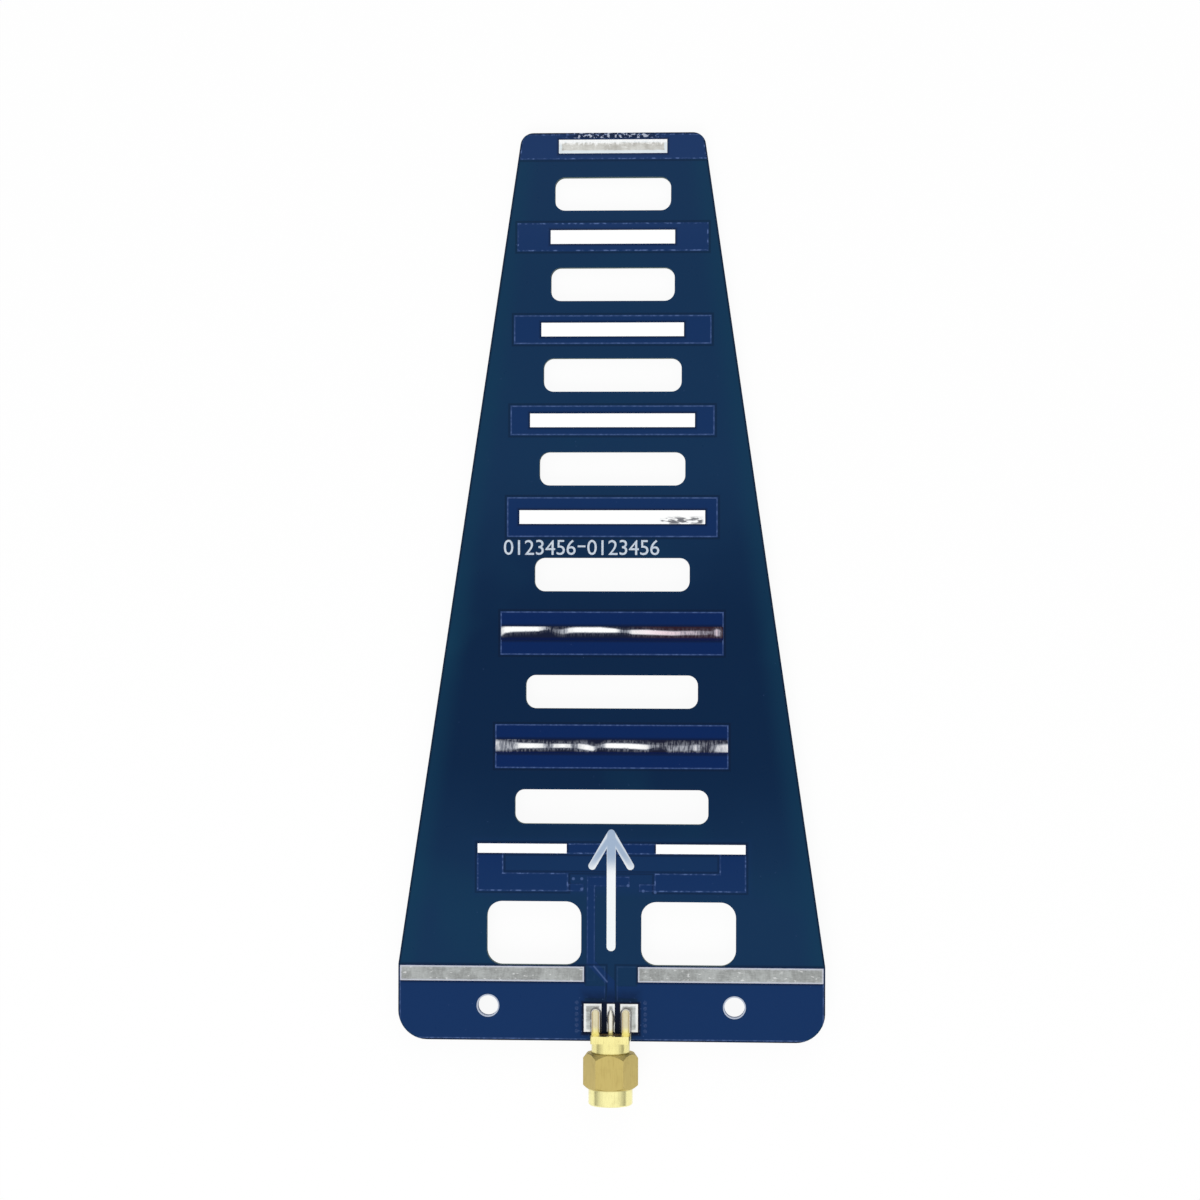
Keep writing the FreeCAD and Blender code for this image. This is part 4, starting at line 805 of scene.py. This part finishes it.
class ANTENNA_OT_plug(bpy.types.Operator):
    """Give the plug's body, contact, insulator, seal, spring ring and nut their materials"""

    bl_idname = "antenna.plug"
    bl_label = "Plug"

    def execute(self, context):
        shades = context.scene.antenna_plug
        body, wetted = tuple(shades.body), tuple(shades.wetted)
        finish(gold_material(shades, "gold_bright", body, 0.16, wetted, (-4.2, -3.0)), "connector_body")
        tail = srgb(240, 238, 226)
        finish(gold_material(shades, "gold_contact", body, 0.16, tail, (-4.6, -3.4)), "centre_contact")
        nut, polished = tuple(shades.nut), tuple(shades.polished)
        satin = gold_material(shades, "gold_satin", nut, 0.4, polished, (-13.4, -13.8), 0.14, 0.24)
        finish(satin, "coupling_nut")
        finish(gold_material(shades, "spring_bronze", tuple(shades.spring), 0.3), "retaining_ring")
        white = plain_material("fluoroplastic", tuple(shades.white), srgb(214, 214, 204), 0.4, (-5.0, -4.65))
        finish(white, "insulator")
        finish(plain_material("silicone", tuple(shades.seal), srgb(130, 42, 30), 0.5), "gasket")
        return {"FINISHED"}


class ANTENNA_OT_thread(bpy.types.Operator):
    """Cut the fine thread inside the coupling nut as one running ridge"""

    bl_idname = "antenna.thread"
    bl_label = "Nut thread"

    def execute(self, context):
        shades = context.scene.antenna_plug
        low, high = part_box("coupling_nut")
        middle = (low + high) / 2
        root, pitch, depth = shades.thread_root, shades.thread_pitch, shades.thread_depth
        mouth, seat, clear = 0.0005, 0.0001, 0.00001
        start, end = low.y + mouth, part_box("gasket")[0].y - seat
        turns = int((end - start - pitch) / pitch)
        foot = root - clear
        section = ((foot, 0), (root - depth, 0.40), (root - depth, 0.50), (foot, 0.90))
        mesh = bmesh.new()
        corners = [mesh.verts.new((middle.x + r, start + pitch * part, middle.z)) for r, part in section]
        segments = 40
        bmesh.ops.spin(
            mesh,
            geom=[mesh.faces.new(corners)],
            cent=(middle.x, start, middle.z),
            axis=(0, 1, 0),
            dvec=(0, pitch / segments, 0),
            angle=2 * math.pi * turns,
            steps=segments * turns,
            use_merge=False,
            use_duplicate=False,
        )
        bmesh.ops.recalc_face_normals(mesh, faces=mesh.faces)
        piece = piece_of(mesh, "nut_thread", NODES["coupling_nut"].data.materials[0])
        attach(piece, "coupling_nut")
        return {"FINISHED"}


def piece_of(mesh, name, made, smooth=False):
    """Makes a finished bmesh an object at the origin."""
    data = bpy.data.meshes.new(name)
    mesh.to_mesh(data)
    mesh.free()
    data.materials.append(made)
    for face in data.polygons:
        face.use_smooth = smooth
    piece = bpy.data.objects.new(name, data)
    bpy.context.scene.collection.objects.link(piece)
    return piece


# ---------------------------------------------------------------- print


def ink_material(settings, arrow):
    """Screen-printed ink: thinner and greyer in the arrow's head, a little open at its rims."""
    made, graph = material("arrow_ink" if arrow else "numeral_ink")
    x, y, _ = graph.axes
    grain = graph.noise(0.28, 3.0)
    if arrow:
        top = rectangle_of("direction_arrow")[3]
        # Half the width of a stroke with its round end, then how far the head reaches aside and down
        stroke, reach, slope = 0.64, 3.2, 4.86
        down = top - stroke * 1.6 - y
        chevron = abs(abs(x) - down * (reach / slope)) * (slope / math.hypot(slope, reach))
        rim = graph.step(chevron, stroke * 0.35, stroke * 0.95)
        shaft = graph.step(abs(x), 0.75, 0.6)
        drop = graph.step(y, top - 8.6, top - 5.2) * graph.step(y, top - 8.6, top - 4.0)
        thin = drop * (1.0 - rim * 0.55 * (1.0 - shaft))
    else:
        thin = graph.step(grain, 0.3, 0.8) * 0.4 + 0.45
    colour = graph.mix(thin, tuple(settings.ink), tuple(settings.grey))
    normal = graph.relief(grain, 0.006)
    graph.surface(Base_Color=colour, Roughness=0.5 + grain * 0.2, Specular_IOR_Level=0.3, Normal=normal)
    return made


class ANTENNA_OT_print(bpy.types.Operator):
    """Print the arrow's ink and one line of generic plain numbers"""

    bl_idname = "antenna.print_marks"
    bl_label = "Print"

    def execute(self, context):
        settings = context.scene.antenna_print
        finish(ink_material(settings, True), "direction_arrow")
        mesh = bmesh.new()
        cell = (settings.right - settings.left) / len(settings.numerals)
        for index, sign in enumerate(settings.numerals):
            self.print_sign(context, settings, mesh, sign, settings.left + cell * (index + 0.5))
        piece = piece_of(mesh, "printed_numerals", ink_material(settings, False))
        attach(piece, "board")
        return {"FINISHED"}

    def print_sign(self, context, settings, mesh, sign, middle):
        """Adds one numeral or dash, centred in its cell and lying on the mask."""
        curve = bpy.data.curves.new("numeral", "FONT")
        curve.body = sign
        curve.size = settings.height * 1.4
        curve.extrude = settings.thickness / 2
        curve.resolution_u = 5
        lettering = bpy.data.objects.new("numeral", curve)
        context.scene.collection.objects.link(lettering)
        context.view_layer.update()
        data = bpy.data.meshes.new_from_object(lettering.evaluated_get(context.evaluated_depsgraph_get()))
        bpy.data.objects.remove(lettering)
        part = bmesh.new()
        part.from_mesh(data)
        bmesh.ops.remove_doubles(part, verts=part.verts, dist=1e-8)
        low = Vector(map(min, zip(*(v.co for v in part.verts))))
        high = Vector(map(max, zip(*(v.co for v in part.verts))))
        foot = settings.foot
        if not sign.isdigit():
            # A dash is widened and stands at half height
            foot += settings.height * 0.5
            stretch = Vector((1.5, 0.9, 1))
            bmesh.ops.scale(part, verts=part.verts, vec=stretch)
            low, high = low * stretch, high * stretch
        shift = Vector((middle - (low.x + high.x) / 2, foot - low.y, settings.level - low.z))
        bmesh.ops.translate(part, verts=part.verts, vec=shift)
        bmesh.ops.recalc_face_normals(part, faces=part.faces)
        part.to_mesh(data)
        part.free()
        mesh.from_mesh(data)
        bpy.data.meshes.remove(data)


# ---------------------------------------------------------------- tented holes


def tent_material(shades):
    """Mask over a filled hole: paler where it is stretched over the ring."""
    made, graph = material("tented_mask")
    fine = graph.noise(0.2, 2.0)
    colour = graph.mix(graph.step(fine, 0.35, 0.7) * 0.22, tuple(shades.copper), tuple(shades.rim))
    normal = graph.relief(fine, 0.003)
    graph.surface(Base_Color=colour, Roughness=0.3 + fine * 0.15, Specular_IOR_Level=0.2, Normal=normal)
    return made


class ANTENNA_OT_tents(bpy.types.Operator):
    """Raise the small rings of the mask-covered holes beside the plug, on both faces"""

    bl_idname = "antenna.tents"
    bl_label = "Tented holes"

    def execute(self, context):
        settings = context.scene.antenna_tents
        made = tent_material(context.scene.antenna_board)
        mesh = bmesh.new()
        front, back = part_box("solder_mask_front")[1].z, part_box("solder_mask_back")[0].z
        for level, up in ((front, 1), (back, -1)):
            for side in (-1, 1):
                for index in range(settings.count):
                    along = settings.first + index * settings.pitch
                    centre = Vector((side * settings.across, along, level))
                    self.ring(mesh, centre, settings.radius, up * settings.rise)
        bmesh.ops.recalc_face_normals(mesh, faces=mesh.faces)
        for face in mesh.faces:
            outward = 1 if face.calc_center_median().z > (front + back) / 2 else -1
            if face.normal.z * outward < 0:
                face.normal_flip()
        piece = piece_of(mesh, "tented_holes", made, smooth=True)
        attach(piece, "board")
        return {"FINISHED"}

    def ring(self, mesh, centre, radius, rise):
        """Adds one raised ring with a shallow dimple, as shares of its radius and rise."""
        shares = ((1.0, -0.1), (0.82, 0.8), (0.66, 1.0), (0.5, 0.75), (0.3, 0.15))
        section = [mesh.verts.new(centre + Vector((out * radius, 0, up * rise))) for out, up in shares]
        lines = [mesh.edges.new(pair) for pair in zip(section, section[1:])]
        bmesh.ops.spin(
            mesh,
            geom=section + lines,
            cent=centre,
            axis=(0, 0, 1),
            angle=2 * math.pi,
            steps=20,
            use_merge=True,
        )
        reach = (shares[-1][0] + 0.02) * radius
        inner = [
            edge
            for edge in mesh.edges
            if edge.is_boundary and (edge.verts[0].co - centre).xy.length < reach
        ]
        bmesh.ops.holes_fill(mesh, edges=inner, sides=0)


# ---------------------------------------------------------------- stage


def seen_directly(graph):
    """1 for rays from the camera and for mirrored and refracted ones; then 1 for the first kind alone."""
    path = graph.node("LightPath")
    named = [graph.value(path, f"Is {kind} Ray") for kind in ("Camera", "Glossy", "Transmission")]
    return graph.most(named), named[0]


class ANTENNA_OT_stage(bpy.types.Operator):
    """Make the pale floor that the antenna rests on, the soft light and the camera"""

    bl_idname = "antenna.stage"
    bl_label = "Stage"

    def execute(self, context):
        settings = context.scene.antenna_stage
        self.floor(context, settings)
        self.light(context, settings)
        self.camera(context, settings)
        context.scene.view_settings.view_transform = "Standard"
        return {"FINISHED"}

    def floor(self, context, settings):
        """A plane through the lowest flat of the nut and the far end of the board."""
        nut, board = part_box("coupling_nut"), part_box("solder_mask_back")
        bevel, gap = 0.0009, 0.00002
        touch = Vector((0, nut[1].y - bevel, nut[0].z))
        far = Vector((0, board[1].y, board[0].z))
        slope = math.atan2(far.z - touch.z, far.y - touch.y)
        mesh = bmesh.new()
        bmesh.ops.create_grid(mesh, x_segments=8, y_segments=8, size=settings.half)
        bmesh.ops.rotate(mesh, verts=mesh.verts, cent=(0, 0, 0), matrix=Matrix.Rotation(slope, 3, "X"))
        bmesh.ops.translate(mesh, verts=mesh.verts, vec=touch - Vector((0, 0, gap)))
        made, graph = material("pale_floor")
        seen, camera = seen_directly(graph)
        grain = graph.noise(60, 2.0)
        white = graph.mix(grain, tuple(settings.floor), srgb(250, 250, 250))
        matt = graph.node("BsdfDiffuse", None, {"Color": white})
        glow = graph.node("Emission", None, {"Color": (1.0, 1.0, 1.0), "Strength": 1.0})
        share = camera * 0.93 + (seen - camera) * 0.5
        both = graph.node("MixShader", None, {0: share, 1: matt.outputs[0], 2: glow.outputs[0]})
        graph.node("OutputMaterial", None, {"Surface": both.outputs[0]})
        piece_of(mesh, "floor", made)

    def light(self, context, settings):
        """A white room, dimmer towards its walls, with two large soft lamps."""
        world = bpy.data.worlds.new("white_room")
        world.use_nodes = True
        context.scene.world = world
        graph = Graph(world.node_tree)
        seen, camera = seen_directly(graph)
        direction = graph.node("TexCoord").outputs["Generated"]
        height = graph.value(graph.node("SeparateXYZ", None, {0: direction}), 2)
        mirrored = graph.step(height, 0.0, 0.9) * 0.64 + 0.4
        strength = camera + (seen - camera) * mirrored + (1.0 - seen) * settings.sky
        back = graph.node("Background", None, {"Color": (1.0, 1.0, 1.0), "Strength": strength})
        graph.node("OutputWorld", None, {"Surface": back.outputs[0]})
        middle = Vector((0, 0.065, 0))
        for name, power, place, size in (
            ("key_lamp", settings.key, (-0.10, -0.52, 0.50), 0.42),
            ("fill_lamp", settings.fill, (0.16, 0.58, 0.42), 0.42),
        ):
            lamp = bpy.data.lights.new(name, "AREA")
            lamp.energy = power
            lamp.size = size
            holder = bpy.data.objects.new(name, lamp)
            holder.location = middle + Vector(place)
            holder.rotation_mode = "QUATERNION"
            holder.rotation_quaternion = (-Vector(place)).to_track_quat("-Z", "Y")
            holder.visible_glossy = False
            context.scene.collection.objects.link(holder)

    def camera(self, context, settings):
        """The camera, nearly straight above the board."""
        data = bpy.data.cameras.new("camera")
        data.sensor_width = 36
        data.lens = settings.lens
        data.clip_start, data.clip_end = 0.01, 20
        holder = bpy.data.objects.new("camera", data)
        turn = Vector(settings.turn)
        rotation = Matrix.Rotation(turn.length, 4, turn.normalized())
        holder.matrix_world = Matrix.Translation(settings.eye) @ rotation
        context.scene.collection.objects.link(holder)
        context.scene.camera = holder


# ---------------------------------------------------------------- add-on


class ANTENNA_PT_panel(bpy.types.Panel):
    """Lists the steps that dress the antenna"""

    bl_label = "Printed Antenna"
    bl_idname = "ANTENNA_PT_panel"
    bl_space_type = "VIEW_3D"
    bl_region_type = "UI"
    bl_category = "Antenna"

    def draw(self, context):
        for operator in OPERATORS:
            self.layout.operator(operator.bl_idname)
        for name in SETTINGS:
            box = self.layout.box()
            for prop in SETTINGS[name].bl_rna.properties:
                if prop.identifier not in ("rna_type", "name"):
                    box.prop(getattr(context.scene, name), prop.identifier)


SETTINGS = {
    "antenna_board": BoardFinish,
    "antenna_tin": TinFinish,
    "antenna_plug": PlugFinish,
    "antenna_print": PrintSettings,
    "antenna_tents": TentSettings,
    "antenna_stage": StageSettings,
}
OPERATORS = (
    ANTENNA_OT_board,
    ANTENNA_OT_tin,
    ANTENNA_OT_plug,
    ANTENNA_OT_thread,
    ANTENNA_OT_print,
    ANTENNA_OT_tents,
    ANTENNA_OT_stage,
)


def register():
    for kind in (*SETTINGS.values(), *OPERATORS, ANTENNA_PT_panel):
        bpy.utils.register_class(kind)
    for name, kind in SETTINGS.items():
        setattr(bpy.types.Scene, name, bpy.props.PointerProperty(type=kind))


def unregister():
    for name in SETTINGS:
        delattr(bpy.types.Scene, name)
    for kind in reversed((*SETTINGS.values(), *OPERATORS, ANTENNA_PT_panel)):
        bpy.utils.unregister_class(kind)


def main():
    """Registers the add-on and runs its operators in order."""
    register()
    bpy.ops.antenna.board()
    bpy.ops.antenna.tin()
    bpy.ops.antenna.plug()
    bpy.ops.antenna.thread()
    bpy.ops.antenna.print_marks()
    bpy.ops.antenna.tents()
    bpy.ops.antenna.stage()


if __name__ == "__main__":
    main()
